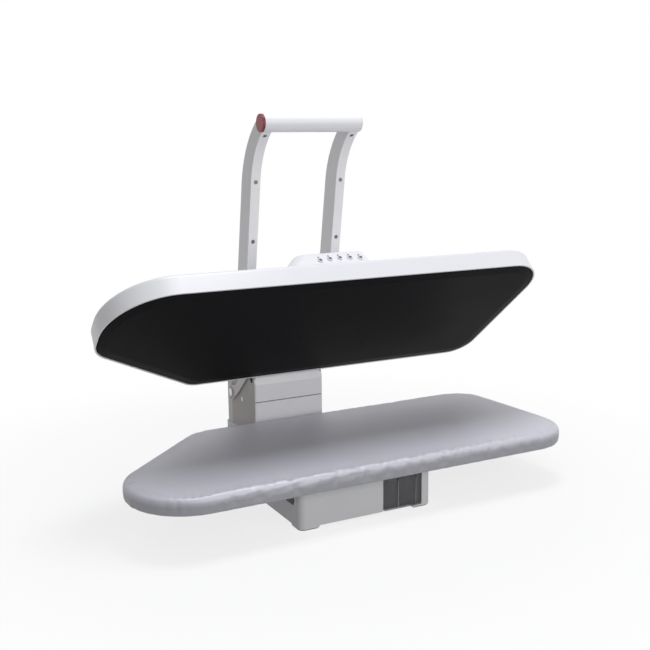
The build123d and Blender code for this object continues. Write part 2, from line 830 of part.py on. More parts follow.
def lift_spring(x):
    """One extension spring: a coil, a straight wire at each end and a ring round each pin."""
    y = lever_place()[0]
    coil_low = lift_bottom + lift_hook
    coil_high = spring_top() - lift_hook - lift_wire
    pitch = (coil_high - coil_low) / lift_turns
    coil_path = Helix(pitch, coil_high - coil_low, lift_radius)
    section = Plane(origin=coil_path @ 0, z_dir=coil_path % 0) * Circle(lift_wire / 2)
    spring = Location((x, y, coil_low)) * sweep(section, path=coil_path)
    ring_radius = lever_pin_radius + 2 * guide_gap + lift_wire / 2
    knot = lift_wire * spring_knot_share
    for height, pin in ((coil_low, lift_bottom), (coil_high, spring_top())):
        toward = 1 if pin > height else -1
        spring += Location((x + lift_radius, y, height)) * Sphere(knot)
        spring += disc_x(x, x + lift_radius, y, height, lift_wire / 2)
        spring += Location((x, y, height)) * Sphere(knot)
        spring += disc_z(x, y, height, pin - toward * ring_radius, lift_wire / 2)
        spring += Location((x, y, pin)) * Rotation(0, 90, 0) * Torus(ring_radius, lift_wire / 2)
    return spring


def spring_stubs(y, z):
    """Two short pins that the springs' rings hang on."""
    return [disc_x(sign * (lever_side - lever_thickness), sign * (lever_inner + overrun), y, z, lever_pin_radius)
            for sign in (-1, 1)]


def make_lift():
    """The two springs and the lever on the hinge shaft that they pull."""
    save("lift_springs", lift_spring(-lever_side), lift_spring(lever_side))

    y, z = lever_place()
    lever = disc_x(-lever_outer, lever_outer, hinge_y, hinge_z, lever_hub_radius)
    arm_face = make_face(Wire([
        Line((hinge_y, hinge_z - lever_eye_radius), (y, z - lever_eye_radius)),
        ThreePointArc((y, z - lever_eye_radius), (y + lever_eye_radius, z), (y, z + lever_eye_radius)),
        Line((y, z + lever_eye_radius), (hinge_y, hinge_z + lever_eye_radius)),
        Line((hinge_y, hinge_z + lever_eye_radius), (hinge_y, hinge_z - lever_eye_radius)),
    ]))
    for sign in (-1, 1):
        lever += side_plate(arm_face, sign * lever_inner, sign * lever_outer)
    for stub in spring_stubs(y, z):
        lever += stub
    lever -= disc_x(-lever_outer - overrun, lever_outer + overrun, hinge_y, hinge_z, shaft_radius)
    save("spring_lever", opened(lever))


def pivot_closed():
    """The handle's pivot, in Y and Z, when the head is closed."""
    return closed_point(pivot_y, pivot_z)


def head_arm():
    """One steel arm from the hinge shaft into the head, with an ear for the handle's pivot."""
    top = arm_plate_bottom + arm_plate_height
    flare_y = hinge_y - 2 * arm_eye_radius
    bar = make_face(Polyline(
        (arm_plate_front, arm_plate_bottom), (flare_y, arm_plate_bottom),
        (hinge_y, hinge_z - arm_eye_radius), (hinge_y, hinge_z + arm_eye_radius),
        (flare_y, top), (arm_plate_front, top), close=True))
    eye = Location((hinge_y, hinge_z, 0)) * Circle(arm_eye_radius)
    y, z = pivot_closed()
    half = arm_ear_width / 2
    ear = make_face(Polyline((y - half, top - overrun), (y + half, top - overrun), (y + half, z), (y - half, z),
                             close=True))
    ear_eye = Location((y, z, 0)) * Circle(half)
    arm = side_plate(bar + eye + ear + ear_eye, arm_plate_inner, arm_plate_outer)
    arm -= disc_x(arm_plate_inner - overrun, arm_plate_outer + overrun, hinge_y, hinge_z, shaft_radius)
    return arm - disc_x(arm_plate_inner - overrun, arm_plate_outer + overrun, y, z, pivot_radius + running_gap)


def stud_places():
    """Where the carrier plate stands on the soleplate."""
    return [(sign * stud_side, y) for sign in (-1, 1) for y in (stud_front, stud_rear)]


def shell_screw_places():
    """Where the shell is screwed to the carrier plate."""
    middle = (stud_front + stud_rear) / 2
    return [(sign * stud_side, middle) for sign in (-1, 1)] + [(sign * shell_screw_side, carrier_rear - shell_screw_inset)
                                                              for sign in (-1, 1)]


def make_head_frame():
    """Hinge shaft, arms, carrier plate and the studs with nuts that hold the soleplate under it."""
    arm = head_arm()
    save("head_arm_right", opened(arm))
    save("head_arm_left", opened(mirrored(arm)))
    save("hinge_shaft", disc_x(-shaft_length / 2, shaft_length / 2, hinge_y, hinge_z, shaft_radius))
    nut_face = RegularPolygon(nut_radius, 6)
    nut = Location((arm_plate_outer, hinge_y, hinge_z)) * Rotation(0, 90, 0) * extrude(nut_face, nut_height)
    nut -= disc_x(arm_plate_outer - overrun, arm_plate_outer + nut_height + overrun, hinge_y, hinge_z, shaft_radius)
    save("hinge_nuts", nut, mirrored(nut))

    low = carrier_bottom
    high = carrier_bottom + carrier_thickness
    carrier = block(-carrier_side, carrier_side, carrier_front, arm_plate_front, low, high)
    carrier += block(-arm_plate_inner, arm_plate_inner, arm_plate_front, carrier_rear, low, high)
    for x, y in stud_places():
        carrier -= disc_z(x, y, low - overrun, high + overrun, stud_radius)
    for x, y in shell_screw_places():
        carrier -= disc_z(x, y, low - overrun, high + overrun, small_screw_radius)
    save("carrier_plate", opened(carrier))

    studs = []
    nut_top = high + stud_nut_height
    for x, y in stud_places():
        stud = disc_z(x, y, plate_top, low, stud_shoulder_radius)
        stud += disc_z(x, y, low, nut_top + overrun, stud_radius)
        stud += Location((x, y, high)) * extrude(RegularPolygon(stud_nut_radius, 6), stud_nut_height)
        studs.append(opened(stud))
    save("carrier_studs", *studs)


def chamber_box(inset, z0, z1):
    """The steam chamber's rounded box, drawn in by an inset."""
    face = RectangleRounded(chamber_length - 2 * inset, chamber_depth - 2 * inset, chamber_round - inset)
    middle = (chamber_left + chamber_length / 2, chamber_front + chamber_depth / 2, z0)
    return Location(middle) * extrude(face, z1 - z0)


def make_heater():
    """Soleplate with its bevelled edge and steam vents, the heating element, and the steam chamber on top."""
    flat = slab(plate_inset + plate_bevel, plate_bottom, bevel_top)
    lower = Location((0, 0, plate_bottom)) * press_outline(plate_inset + plate_bevel)
    upper = Location((0, 0, bevel_top)) * press_outline(plate_inset)
    bevel = loft([lower.face(), upper.face()])
    body = slab(plate_inset, bevel_top, plate_top)
    plate = flat + bevel + body
    vents = []
    for column in range(vent_columns):
        for row in range(vent_rows):
            x = chamber_left + chamber_length * (column + 1) / (vent_columns + 1)
            y = chamber_front + chamber_depth * (row + 1) / (vent_rows + 1)
            vents.append(disc_z(x, y, plate_bottom - overrun, plate_top + overrun, vent_radius))
    plate -= vents
    save("soleplate", opened(plate))

    points = [
        (element_start_x, element_rear_y),
        (element_right_x, element_rear_y),
        (element_right_x, element_front_y),
        (element_left_x + element_rear_y, element_front_y),
        (element_left_x, element_left_front_y),
        (element_left_x, element_left_rear_y),
        (element_left_rear_x, element_rear_y),
        (element_end_x, element_rear_y),
    ]
    route = FilletPolyline(*points, radius=element_bend)
    height = plate_top + element_radius
    section = Plane(origin=route @ 0, z_dir=route % 0) * Circle(element_radius)
    element = Location((0, 0, height)) * sweep(section, path=route)
    save("heating_element", opened(element))

    gasket_top = plate_top + gasket_thickness
    gasket = chamber_box(0, plate_top, gasket_top) - chamber_box(gasket_width, plate_top - overrun, gasket_top + overrun)
    save("chamber_gasket", opened(gasket))
    lid_top = gasket_top + chamber_height
    lid = chamber_box(0, gasket_top, lid_top)
    lid = fillet(top_edges(lid, lid_top), chamber_wall)
    save("steam_chamber_lid", opened(lid - chamber_box(gasket_width, gasket_top - overrun, lid_top - chamber_wall)))
    thermostat = disc_z(thermostat_x, thermostat_y, plate_top, plate_top + thermostat_height / 3,
                        thermostat_radius + thermostat_height / 3)
    thermostat += disc_z(thermostat_x, thermostat_y, plate_top, plate_top + thermostat_height, thermostat_radius)
    save("thermostat", opened(thermostat))


def shell_outer():
    """The head shell's outer form, filled in."""
    body = slab(shell_inset, shell_bottom, shell_top, shell_draft)
    return fillet(top_edges(body, shell_top), shell_top_round)


def make_shell():
    """The head's white shell, open below, with the places where the arms and their ears pass through."""
    shell = shell_outer()
    hollow = slab(shell_inset + shell_wall, shell_bottom - overrun, shell_top - shell_wall, shell_draft)
    shell -= hollow
    inner = arm_plate_inner - arm_slot_gap
    outer = arm_plate_outer + arm_slot_gap
    y = pivot_closed()[0]
    half = arm_ear_width / 2 + arm_slot_gap
    for sign in (-1, 1):
        shell -= block(sign * inner, sign * outer, y - half, y + half, shell_top - 2 * shell_wall, shell_top + overrun)
        shell -= block(sign * inner, sign * outer, carrier_rear + overrun, outline_rear, arm_plate_bottom - arm_slot_gap,
                       arm_plate_bottom + arm_plate_height + arm_slot_gap)
    high = carrier_bottom + carrier_thickness
    for x, y in shell_screw_places():
        shell += disc_z(x, y, high, shell_top - shell_wall / 2, boss_radius)
        shell -= disc_z(x, y, high - overrun, shell_top - 2 * shell_wall, boss_hole_radius)
    save("head_shell", opened(shell))
    screws = []
    for x, y in shell_screw_places():
        screw = disc_z(x, y, carrier_bottom - small_screw_head, carrier_bottom, small_screw_head_radius)
        tip = carrier_bottom + shell_screw_length
        screws.append(opened(screw + disc_z(x, y, carrier_bottom, tip, boss_hole_radius)))
    save("shell_screws", *screws)


def console_block(inset, sink):
    """The console's form: a rectangle at the shell's top that narrows to its own flat top."""
    rise = console_height - inset
    top = shell_top + rise
    faces = []
    for height in (-sink, rise):
        share = height / console_height
        left = console_left + console_left_setback * share + inset
        right = console_left + console_width - console_right_setback * share - inset
        front = console_front + console_front_setback * share + inset
        rear = console_front + console_depth - console_rear_setback * share - inset
        middle = Location(((left + right) / 2, (front + rear) / 2, shell_top + height))
        faces.append(middle * Rectangle(right - left, rear - front))
    body = loft([face.face() for face in faces])
    sides = body.edges().filter_by(lambda edge: shell_top < edge.center().Z < top - running_gap).sort_by(Axis.X)
    body = fillet(sides[:2], console_left_round - inset)
    sides = body.edges().filter_by(lambda edge: shell_top < edge.center().Z < top - running_gap).sort_by(Axis.X)
    body = fillet(sides[-2:], console_right_round - inset)
    return fillet(top_edges(body, top), console_top_round - inset)


def console_places():
    """Centres of the buttons along the console's front face, as X and the distance up the face."""
    length = hypot(console_front_setback, console_height)
    for index in range(button_count):
        share = 2 * index / (button_count - 1) - 1
        x = button_middle_x + share * button_spacing * (button_count - 1) / 2
        yield x, button_share * length + button_arc_rise * (1 - share ** 2)


def on_console(x, along):
    """A place on the console's front face, with its own Z pointing out of the face."""
    length = hypot(console_front_setback, console_height)
    y = console_front + console_front_setback * along / length
    z = shell_top + console_height * along / length
    return Plane(origin=(x, y, z), x_dir=(1, 0, 0),
                 z_dir=(0, -console_height / length, console_front_setback / length)).location


def stack(place, *steps):
    """A turned piece along a place's own Z: each step is its start, its end and its radius."""
    solid = None
    for start, end, radius in steps:
        step = place * Location((0, 0, (start + end) / 2)) * Cylinder(radius, end - start)
        solid = step if solid is None else solid + step
    return solid


def make_console():
    """The console's housing, its five push buttons, their lights and the card with the switches."""
    housing = console_block(0, console_sink) - console_block(console_wall, console_sink + overrun) - shell_outer()
    low = -console_wall - button_flange - button_stem
    under = -console_wall - running_gap
    lights = []
    for number, (x, along) in enumerate(console_places(), start=1):
        place = on_console(x, along)
        housing -= stack(place, (-2 * console_wall, overrun, button_radius + running_gap))
        button = stack(place, (under - button_flange, under, button_flange_radius),
                       (under, button_stand, button_radius),
                       (low, under - button_flange, small_screw_radius))
        rims = button.edges().filter_by(GeomType.CIRCLE)
        button = fillet(rims.sort_by(lambda rim: (place.inverse() * rim).center().Z)[-1], button_edge_round)
        save("console_button_" + str(number), opened(button))
        lamp = on_console(x, along + light_rise)
        housing -= stack(lamp, (-2 * console_wall, overrun, light_radius + running_gap))
        lights.append(opened(stack(lamp, (-console_wall, light_stand, light_radius))))
    save("console_housing", opened(housing))
    save("indicator_lights", *lights)

    card_top = low - button_travel - switch_gap - switch_height
    middle = on_console(button_middle_x,
                        button_share * hypot(console_front_setback, console_height) + button_arc_rise / 2)
    card = middle * Location((0, 0, card_top - board_card_thickness / 2)) * Box(
        board_card_width, board_card_height, board_card_thickness)
    for x, along in console_places():
        place = on_console(x, along)
        card += place * Location((0, 0, card_top + switch_height / 2)) * Box(switch_side, switch_side, switch_height)
    save("console_card", opened(card))


def arm_place(bow, forward):
    """A point of the handle's side view: along its straight part when bow is negative, else along its bow."""
    lean = radians(handle_lean)
    if bow < 0:
        along = handle_straight + bow
        ahead = forward
    else:
        angle = radians(bow)
        along = handle_straight + (handle_bow_radius - forward) * sin(angle)
        ahead = handle_bow_radius - (handle_bow_radius - forward) * cos(angle)
    return (pivot_y - along * sin(lean) - ahead * cos(lean), pivot_z + along * cos(lean) - ahead * sin(lean))


def handle_face(front_low, rear_low, front_end, rear_end):
    """The handle arm's outline in the side view, from its front and rear edges at the pivot and at the grip."""
    start = -handle_straight
    middle = handle_bow_angle / 2
    centre = (front_low - rear_low) / 2
    depth = (front_low + rear_low) / 2
    lean = radians(handle_lean)
    below = arm_place(start, centre)
    cap = (below[0] + depth * sin(lean), below[1] - depth * cos(lean))
    edges = [
        Line(arm_place(start, front_low), arm_place(0, front_low)),
        ThreePointArc(arm_place(0, front_low), arm_place(middle, (front_low + front_end) / 2),
                      arm_place(handle_bow_angle, front_end)),
        Line(arm_place(handle_bow_angle, front_end), arm_place(handle_bow_angle, -rear_end)),
        ThreePointArc(arm_place(handle_bow_angle, -rear_end), arm_place(middle, -(rear_low + rear_end) / 2),
                      arm_place(0, -rear_low)),
        Line(arm_place(0, -rear_low), arm_place(start, -rear_low)),
        ThreePointArc(arm_place(start, -rear_low), cap, arm_place(start, front_low)),
    ]
    return make_face(Wire(edges))


def grip_place():
    """The grip's middle line in the side view."""
    return arm_place(handle_bow_angle, 0)


def core_face(gap):
    """The steel core in the side view, with its pivot eye and the crank to its guide pin, grown by a gap."""
    bar = handle_face(gap - core_front, core_front + core_depth + gap, core_depth / 2 + gap, core_depth / 2 + gap)
    eye = Location((pivot_y, pivot_z, 0)) * Circle(core_eye_radius + gap)
    run = hypot(crank_y, crank_z)
    turn = degrees(atan2(crank_z, crank_y))
    middle = (pivot_y + crank_y / 2, pivot_z + crank_z / 2, 0)
    crank = Location(middle) * Rotation(0, 0, turn) * SlotCenterToCenter(run, 2 * (crank_eye_radius + gap))
    return bar + eye + crank


def arm_spot(bow, forward):
    """A place across the handle arm, with its own Z pointing out of the front face."""
    y, z = arm_place(bow, forward)
    turn = radians(handle_lean + max(bow, 0))
    return Plane(origin=(core_middle, y, z), x_dir=(1, 0, 0), z_dir=(0, -cos(turn), -sin(turn))).location


def handle_screw_spots():
    """Where the front strip's screws stand, each on the arm's front face."""
    half = handle_depth / 2
    yield arm_spot(handle_screw_low - handle_straight, half)
    for share in handle_screw_bow_shares:
        yield arm_spot(share * handle_bow_angle, half - (half - handle_end_half) * share)


def make_handle_arm():
    """One bowed arm: a plastic channel over a steel core, closed in front by a strip with three screws."""
    half = handle_depth / 2
    end = handle_end_half
    low_x = handle_inner
    high_x = handle_outer
    grip_y, grip_z = grip_place()
    depth = handle_front_thickness
    whole = side_plate(handle_face(half, half, end, end), low_x, high_x)
    behind = side_plate(handle_face(half - depth, handle_depth, end - depth, handle_depth),
                        low_x - overrun, high_x + overrun)
    start = -handle_straight
    below = make_face(Polyline(arm_place(start, handle_depth), arm_place(start, -handle_depth),
                               arm_place(start - handle_depth, -handle_depth),
                               arm_place(start - handle_depth, handle_depth), close=True))
    strip = whole - behind - side_plate(below, low_x - overrun, high_x + overrun)
    hollow = side_plate(handle_face(half - depth, half - handle_wall, end - depth, end - handle_wall),
                        low_x + handle_wall, high_x - handle_wall)
    channel = whole - strip - hollow
    ribs = []
    screws = []
    for spot in handle_screw_spots():
        ribs.append(spot * Location((0, 0, -rib_depth / 2)) * Box(handle_width - handle_wall, rib_length, rib_depth))
    for rib in ribs:
        channel += (rib & whole) - strip
    top = -handle_screw_sink
    for spot in handle_screw_spots():
        strip -= stack(spot, (top - handle_screw_head, 2 * overrun, handle_screw_head_radius + sliding_gap),
                       (-rib_depth, overrun, handle_screw_radius + running_gap))
        channel -= stack(spot, (-handle_screw_length, overrun, handle_screw_radius))
        screws.append(stack(spot, (top - handle_screw_head, top, handle_screw_head_radius),
                            (-handle_screw_length, top - handle_screw_head, handle_screw_radius)))
    core_room = side_plate(core_face(sliding_gap), core_inner - sliding_gap, core_outer + sliding_gap)
    past_grip = disc_x(low_x - overrun, high_x + overrun, grip_y, grip_z, grip_radius)
    channel = channel - core_room - past_grip
    channel -= disc_x(low_x - overrun, high_x - handle_wall, pivot_y, pivot_z, pivot_nut_radius + sliding_gap)
    strip -= past_grip
    core = side_plate(core_face(0), core_inner, core_outer)
    core += disc_x(core_inner, core_outer, grip_y, grip_z, tube_bore)
    core -= disc_x(core_inner - overrun, core_outer + overrun, pivot_y, pivot_z, pivot_radius)
    core += disc_x(crank_pin_inner, core_outer, pivot_y + crank_y, pivot_z + crank_z, crank_pin_radius)
    return channel, strip, core, screws


def make_handle():
    """Both arms, the grip between them, its steam button with its spring and switch, and the pivots."""
    channel, strip, core, screws = make_handle_arm()
    save("handle_arm_right", channel)
    save("handle_arm_left", mirrored(channel))
    save("handle_strip_right", strip)
    save("handle_strip_left", mirrored(strip))
    y, z = grip_place()
    stem_hole = disc_x(-core_outer - overrun, -core_inner + overrun, y, z, steam_stem_radius + running_gap)
    save("handle_core_right", core)
    save("handle_core_left", mirrored(core) - stem_hole)
    save("handle_screws", *screws, *[mirrored(screw) for screw in screws])
    bolt = disc_x(arm_plate_inner - pivot_head, arm_plate_inner, pivot_y, pivot_z, pivot_head_radius)
    bolt += disc_x(arm_plate_inner, core_outer + pivot_head, pivot_y, pivot_z, pivot_radius)
    nut = disc_x(core_outer, core_outer + pivot_head, pivot_y, pivot_z, pivot_nut_radius)
    save("pivot_bolts", bolt + nut, mirrored(bolt + nut))

    left_end = -handle_outer + button_cap_gap
    tube = disc_x(left_end, handle_outer, y, z, grip_radius)
    tube -= disc_x(left_end - overrun, handle_outer + overrun, y, z, tube_bore)
    passage = side_plate(core_face(running_gap), core_inner - running_gap, core_outer + running_gap)
    tube = tube - passage - mirrored(passage)
    save("grip_tube", tube)

    cap_inner = -handle_outer
    cap = disc_x(cap_inner - button_cap_thickness, cap_inner, y, z, grip_radius - running_gap)
    outer_rim = cap.edges().filter_by(GeomType.CIRCLE).sort_by(Axis.X)[0]
    cap = fillet(outer_rim, button_edge_round)
    cap += disc_x(cap_inner, cap_inner + button_plug_length, y, z, tube_bore - running_gap)
    cap += disc_x(cap_inner, cap_inner + steam_stem_length, y, z, steam_stem_radius)
    save("steam_button", cap)
    low = cap_inner + button_plug_length
    high = -core_outer
    coil_length = high - low - spring_wire - 2 * running_gap
    coil_path = Helix(coil_length / spring_turns, coil_length, spring_radius)
    section = Plane(origin=coil_path @ 0, z_dir=coil_path % 0) * Circle(spring_wire / 2)
    coil = Location((low + spring_wire / 2 + running_gap, y, z)) * Rotation(0, 90, 0) * sweep(section, path=coil_path)
    save("button_spring", coil)
    switch_start = cap_inner + steam_stem_length + steam_travel + switch_gap
    switch = block(switch_start, switch_start + steam_switch_length, y - steam_switch_side / 2,
                   y + steam_switch_side / 2, z - steam_switch_side / 2, z + steam_switch_side / 2)
    holder_start = switch_start + steam_switch_length - steam_switch_holder
    switch += disc_x(holder_start, switch_start + steam_switch_length, y, z, tube_bore)
    save("steam_switch", switch)
    plug = disc_x(handle_outer, handle_outer + end_cap_thickness, y, z, grip_radius)
    plug = fillet(plug.edges().filter_by(GeomType.CIRCLE).sort_by(Axis.X)[-1], button_edge_round)
    plug += disc_x(handle_outer - end_plug_length, handle_outer, y, z, tube_bore)
    save("grip_end_cap", plug)


def tube_along(points, bend, radius):
    """A round tube through a list of points, with its corners rounded."""
    route = FilletPolyline(*points, radius=bend)
    section = Plane(origin=route @ 0, z_dir=route % 0) * Circle(radius)
    return sweep(section, path=route)


def make_pump(seat_x, seat_y, seat_z):
    """Pump on the base plate, its hoses, and the mains inlet in the base's rear wall."""
    front = pump_y - pump_length / 2
    rear = pump_y + pump_length / 2
    pump = disc_y(pump_x, front, rear, pump_z, pump_radius)
    pump += block(pump_x - pump_foot_width / 2, pump_x + pump_foot_width / 2, front, rear, frame_foot,
                  frame_foot + pump_foot_height)
    pump += block(pump_x - pump_radius / 2, pump_x + pump_radius / 2, front, rear, frame_foot, pump_z)
    pump += disc_y(pump_x, rear, rear + pump_port_length, pump_z, pump_port_radius)
    inlet_y = pump_y + pump_length / 4
    inlet_x = pump_x + pump_radius + pump_port_length
    pump += disc_x(pump_x, inlet_x, inlet_y, pump_z, pump_port_radius)
    save("pump", pump)

    turn_x = (seat_x + inlet_x) / 2
    suction = tube_along([(seat_x, seat_y, seat_z), (seat_x, seat_y + 2 * hose_bend, seat_z),
                          (turn_x, seat_y + 2 * hose_bend, seat_z), (turn_x, inlet_y, pump_z),
                          (inlet_x, inlet_y, pump_z)], hose_bend, hose_radius)
    save("suction_hose", suction)
    start_y = rear + pump_port_length
    feed = tube_along([(pump_x, start_y, pump_z), (pump_x, start_y + 2 * hose_bend, pump_z),
                       (riser_x, riser_y - 2 * hose_bend, pump_z), (riser_x, riser_y, pump_z),
                       (riser_x, riser_y, hinge_z)], hose_bend, hose_radius)
    save("feed_hose", feed)

    gland = disc_y(gland_x, base_rear - gland_length / 2, base_rear + gland_flange, gland_z, gland_radius)
    gland += disc_y(gland_x, base_rear, base_rear + gland_flange, gland_z, gland_flange_radius)
    gland -= disc_y(gland_x, base_rear - gland_length, base_rear + gland_length, gland_z, gland_bore)
    save("mains_inlet", gland)


make_base()
make_board()
tank_seat = make_tank()
make_column()
make_frame()
make_lift()
make_head_frame()
make_heater()
make_shell()
make_console()
make_handle()
make_pump(*tank_seat)
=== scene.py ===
import json
from math import atan2, cos, exp, hypot, pi, radians, sin, tan

import bmesh
import bpy
from mathutils import Matrix, Vector


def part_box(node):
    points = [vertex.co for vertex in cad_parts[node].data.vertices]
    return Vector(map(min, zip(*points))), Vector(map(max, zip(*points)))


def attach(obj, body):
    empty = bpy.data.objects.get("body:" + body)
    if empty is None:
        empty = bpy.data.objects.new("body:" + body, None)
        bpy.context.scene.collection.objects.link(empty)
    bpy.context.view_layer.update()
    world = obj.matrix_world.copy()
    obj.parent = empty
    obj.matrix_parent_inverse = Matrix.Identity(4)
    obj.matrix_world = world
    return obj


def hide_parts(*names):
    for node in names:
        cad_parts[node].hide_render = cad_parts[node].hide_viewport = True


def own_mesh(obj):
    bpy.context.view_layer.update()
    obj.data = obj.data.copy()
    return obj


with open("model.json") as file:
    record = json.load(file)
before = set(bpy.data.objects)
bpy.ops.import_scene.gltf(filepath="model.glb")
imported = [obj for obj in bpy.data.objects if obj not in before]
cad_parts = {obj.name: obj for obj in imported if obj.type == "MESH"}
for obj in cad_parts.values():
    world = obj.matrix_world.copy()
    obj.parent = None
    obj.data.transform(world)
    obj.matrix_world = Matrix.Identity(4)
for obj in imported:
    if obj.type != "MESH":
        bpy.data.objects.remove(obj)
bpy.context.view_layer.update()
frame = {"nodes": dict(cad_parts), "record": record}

# Sizes, in metres. The press's plan is drawn about the middle of its base, which stands here in the frame.
MM = 0.001
BASE_MIDDLE = Vector((-9.56 * MM, 15.25 * MM, 0))
WELD = 0.01 * MM

# Board outline, as corners with their radii in mm, about the base's middle
OUTLINE_CORNERS = ((-387, -258, 103), (426, -258, 80), (403, 66, 48), (-199, 66, 44), (-387, -117, 84))

# Board cover: its form
COVER_POINTS = 640
COVER_HEM = 24 * MM
COVER_HEM_SHARES = (0.8, 0.55, 0.35)
COVER_EDGE = 11 * MM
COVER_ROUND_STEPS = 7
COVER_SIDE_STEPS = 5
COVER_TOP_STEPS = 26
COVER_TOP_POWER = 1.15
COVER_CROWN = 6.5 * MM
COVER_CROWN_SPEED = 2.2
COVER_CROWN_POWER = 0.6
COVER_EDGE_RISE = 3.5 * MM
COVER_LOW_ROUND = 4 * MM
COVER_UNDER = 78.9 * MM
COVER_WELD = 0.05 * MM
COVER_SLIVER = 0.02 * MM
SPINE_LEFT = -262 * MM
SPINE_RIGHT = 300 * MM
SPINE_Y = -100 * MM

# Board cover: the rim points that a search tries, and the heights between which the painted shade on its side
# fades out, so the side grows lighter towards the top
RIM_COARSE = range(0, COVER_POINTS, 8)
RIM_MEDIUM = range(0, COVER_POINTS, 4)
RIM_FINE = range(0, COVER_POINTS, 2)
COVER_SHADE_LOW = 87 * MM
COVER_SHADE_HIGH = 103 * MM

# Board cover: the waves that its gathers start from, each as a count round the rim and a share of the height
PUCKERS = ((61, 0.8), (97, 0.55), (149, 0.35))
PUCKER_HEIGHT = 0.4 * MM
PUCKER_REACH = 26 * MM
PUCKER_LEAST = 0.45
PUCKER_CALMS = 5
PUCKER_PHASE = 1.3
PUCKER_FADE = 0.8

# Board cover: its run as cloth
CLOTH_SETTINGS = {"quality": 6, "mass": 0.2, "tension_stiffness": 12, "compression_stiffness": 12,
                  "bending_stiffness": 0.3, "shrink_min": -0.014, "use_pressure": True,
                  "uniform_pressure_force": 2.0, "vertex_group_mass": "held"}
CLOTH_FRAMES = 20
CLOTH_MOST_MOVE = 1.4 * MM
CLOTH_FREE_RISE = 5 * MM
CLOTH_TOP_HELD = 1.6
CLOTH_HEM_HELD = 0.75

# Board cover: folds along its front edge, in mm. Each has its start and end, as a place along the board and a run
# up the side and over the edge, then its half width and its lift.
FOLDS = (((-352, 4), (-349, 22), 2.6, -1.7), ((-337, 2), (-335, 25), 2.4, -2.0),
         ((-322, 5), (-324, 18), 2.6, -1.1), ((-372, 8), (-366, 20), 3.0, -1.0),
         ((-290, 30), (-215, 33), 3.6, 1.1), ((-235, 22), (-160, 36), 3.2, 1.5),
         ((-170, 27), (-95, 35), 3.0, 1.7), ((-205, 14), (-110, 25), 3.6, -1.3),
         ((-110, 33), (-40, 27), 3.4, 1.3), ((-90, 16), (0, 22), 4.0, -1.1),
         ((20, 34), (95, 29), 4.0, 0.9), ((120, 25), (190, 33), 4.0, 0.9),
         ((235, 31), (310, 26), 3.6, 1.0), ((330, 12), (334, 24), 3.2, -1.0),
         ((372, 8), (371, 22), 2.8, -1.1), ((340, 24), (354, 42), 2.8, 1.3),
         ((358, 22), (372, 42), 2.6, 1.5), ((376, 20), (389, 40), 2.6, 1.3),
         ((392, 18), (402, 36), 2.8, 1.0))
FOLD_FRONT = -205 * MM
FOLD_ENDS = 0.55

# Board cover: its room over the rigid panel
PANEL_CLEAR = 0.35 * MM
PANEL_DEPTH = 6 * MM
PANEL_ABOVE = 2 * MM

# Console buttons' inlays, with rings as shares of the radius and heights in mm
MARK_RADIUS = 3.1 * MM
MARK_SIDES = 24
MARK_RINGS = ((0.0, -0.3), (1.0, -0.3), (1.0, 0.05), (0.8, 0.2), (0.4, 0.28), (0.0, 0.3))
MARK_FACE = 0.02 * MM

# Hem stitches
STITCH_INSET = 20.5 * MM
STITCH_POINTS = 400
STITCH_PROUD = 0.1 * MM
STITCH_SIDES = 6
STITCH_SIZES = {"Pitch": 4 * MM, "Length": 2.8 * MM, "Thread Radius": 0.35 * MM}

# Painted highlights along the tank's inner ribs: light strips where the ribs meet the front wall, standing in for
# the light they catch. Each end has distances from the tank's end and shares of the full size.
RIB_SHARES = (0.38, 0.84)
RIB_HALF = 0.55 * MM
RIB_SUNK = 0.3 * MM
RIB_DEPTH = 0.6 * MM
RIB_SIDES = 8
RIB_LOW_END = ((3.5 * MM, 0.3), (7 * MM, 1.0))
RIB_HIGH_END = ((14 * MM, 1.0), (10.5 * MM, 0.3))

# Screws: sides and shares, then each kind with its node, body, finish and its sizes in mm, which are the head's
# radius and height and the shank's radius and length
SCREW_LABELS = ("Head Radius", "Head Height", "Shank Radius", "Shank Length", "Slot Width", "Slot Depth")
SCREW_SIDES = 28
SHANK_SIDES = 16
SHANK_START = 0.9
SLOT_LENGTH = 1.25
SLOT_WIDTH = 0.26
SLOT_DEPTH = 0.6
AXIS_SAMPLE = 3
AXIS_ROUNDS = 60
SCREW_KINDS = (
    ("handle_front_screws", "handle_screws", "handle", "screw_steel", (3.3, 1.6, 1.9, 7.4)),
    ("side_panel_screws", "panel_screws", "stand", "steel", (4.2, 0.9, 1.4, 8)),
    ("under_screws", "base_screws", "stand", "steel", (2.8, 1.8, 1.4, 10)),
)

# Depths of the finishes' bumps
GRAIN_DEPTH = 0.05 * MM
PEEL_DEPTH = 0.08 * MM
THREAD_DEPTH = 0.12 * MM

# Floor
FLOOR_FADE_START = 0.35
FLOOR_FADE_END = 0.95
FLOOR_ALPHA = 0.22

# Camera, fitted to the photograph
PICTURE = 650
CAMERA_PLACE = Vector((-766.3 * MM, -1550.4 * MM, 617.0 * MM))
CAMERA_YAW = radians(27.5)
CAMERA_PITCH = radians(10.7)
CAMERA_ROLL = radians(0.6)
FOCAL_PIXELS = 970.3
SENSOR = 36.0

# Lamps: name, place, target, size, watts and tint
LAMPS = (
    ("top", (0.25, -0.14, 2.5), (0.0, -0.12, 0.3), 0.85, 30, (0.93, 0.95, 1.0)),
    ("front", (0.6, -3.0, 1.0), (0.0, 0.0, 0.3), 2.0, 35, (1.0, 1.0, 1.0)),
    ("fill", (-1.7, -2.7, 1.5), (0.0, 0.0, 0.3), 2.2, 4, (1.0, 1.0, 1.0)),
    ("rear", (0.6, 2.4, 2.2), (0.0, 0.1, 0.3), 1.6, 1.5, (1.0, 1.0, 1.0)),
)

# Rays that see the backdrop as plain white, and the soft light that all others see
WHITE_RAYS = ("Is Camera Ray", "Is Glossy Ray", "Is Transmission Ray")
SOFT_TINT = (0.98, 0.985, 1.0, 1.0)
SOFT_STRENGTH = 0.30


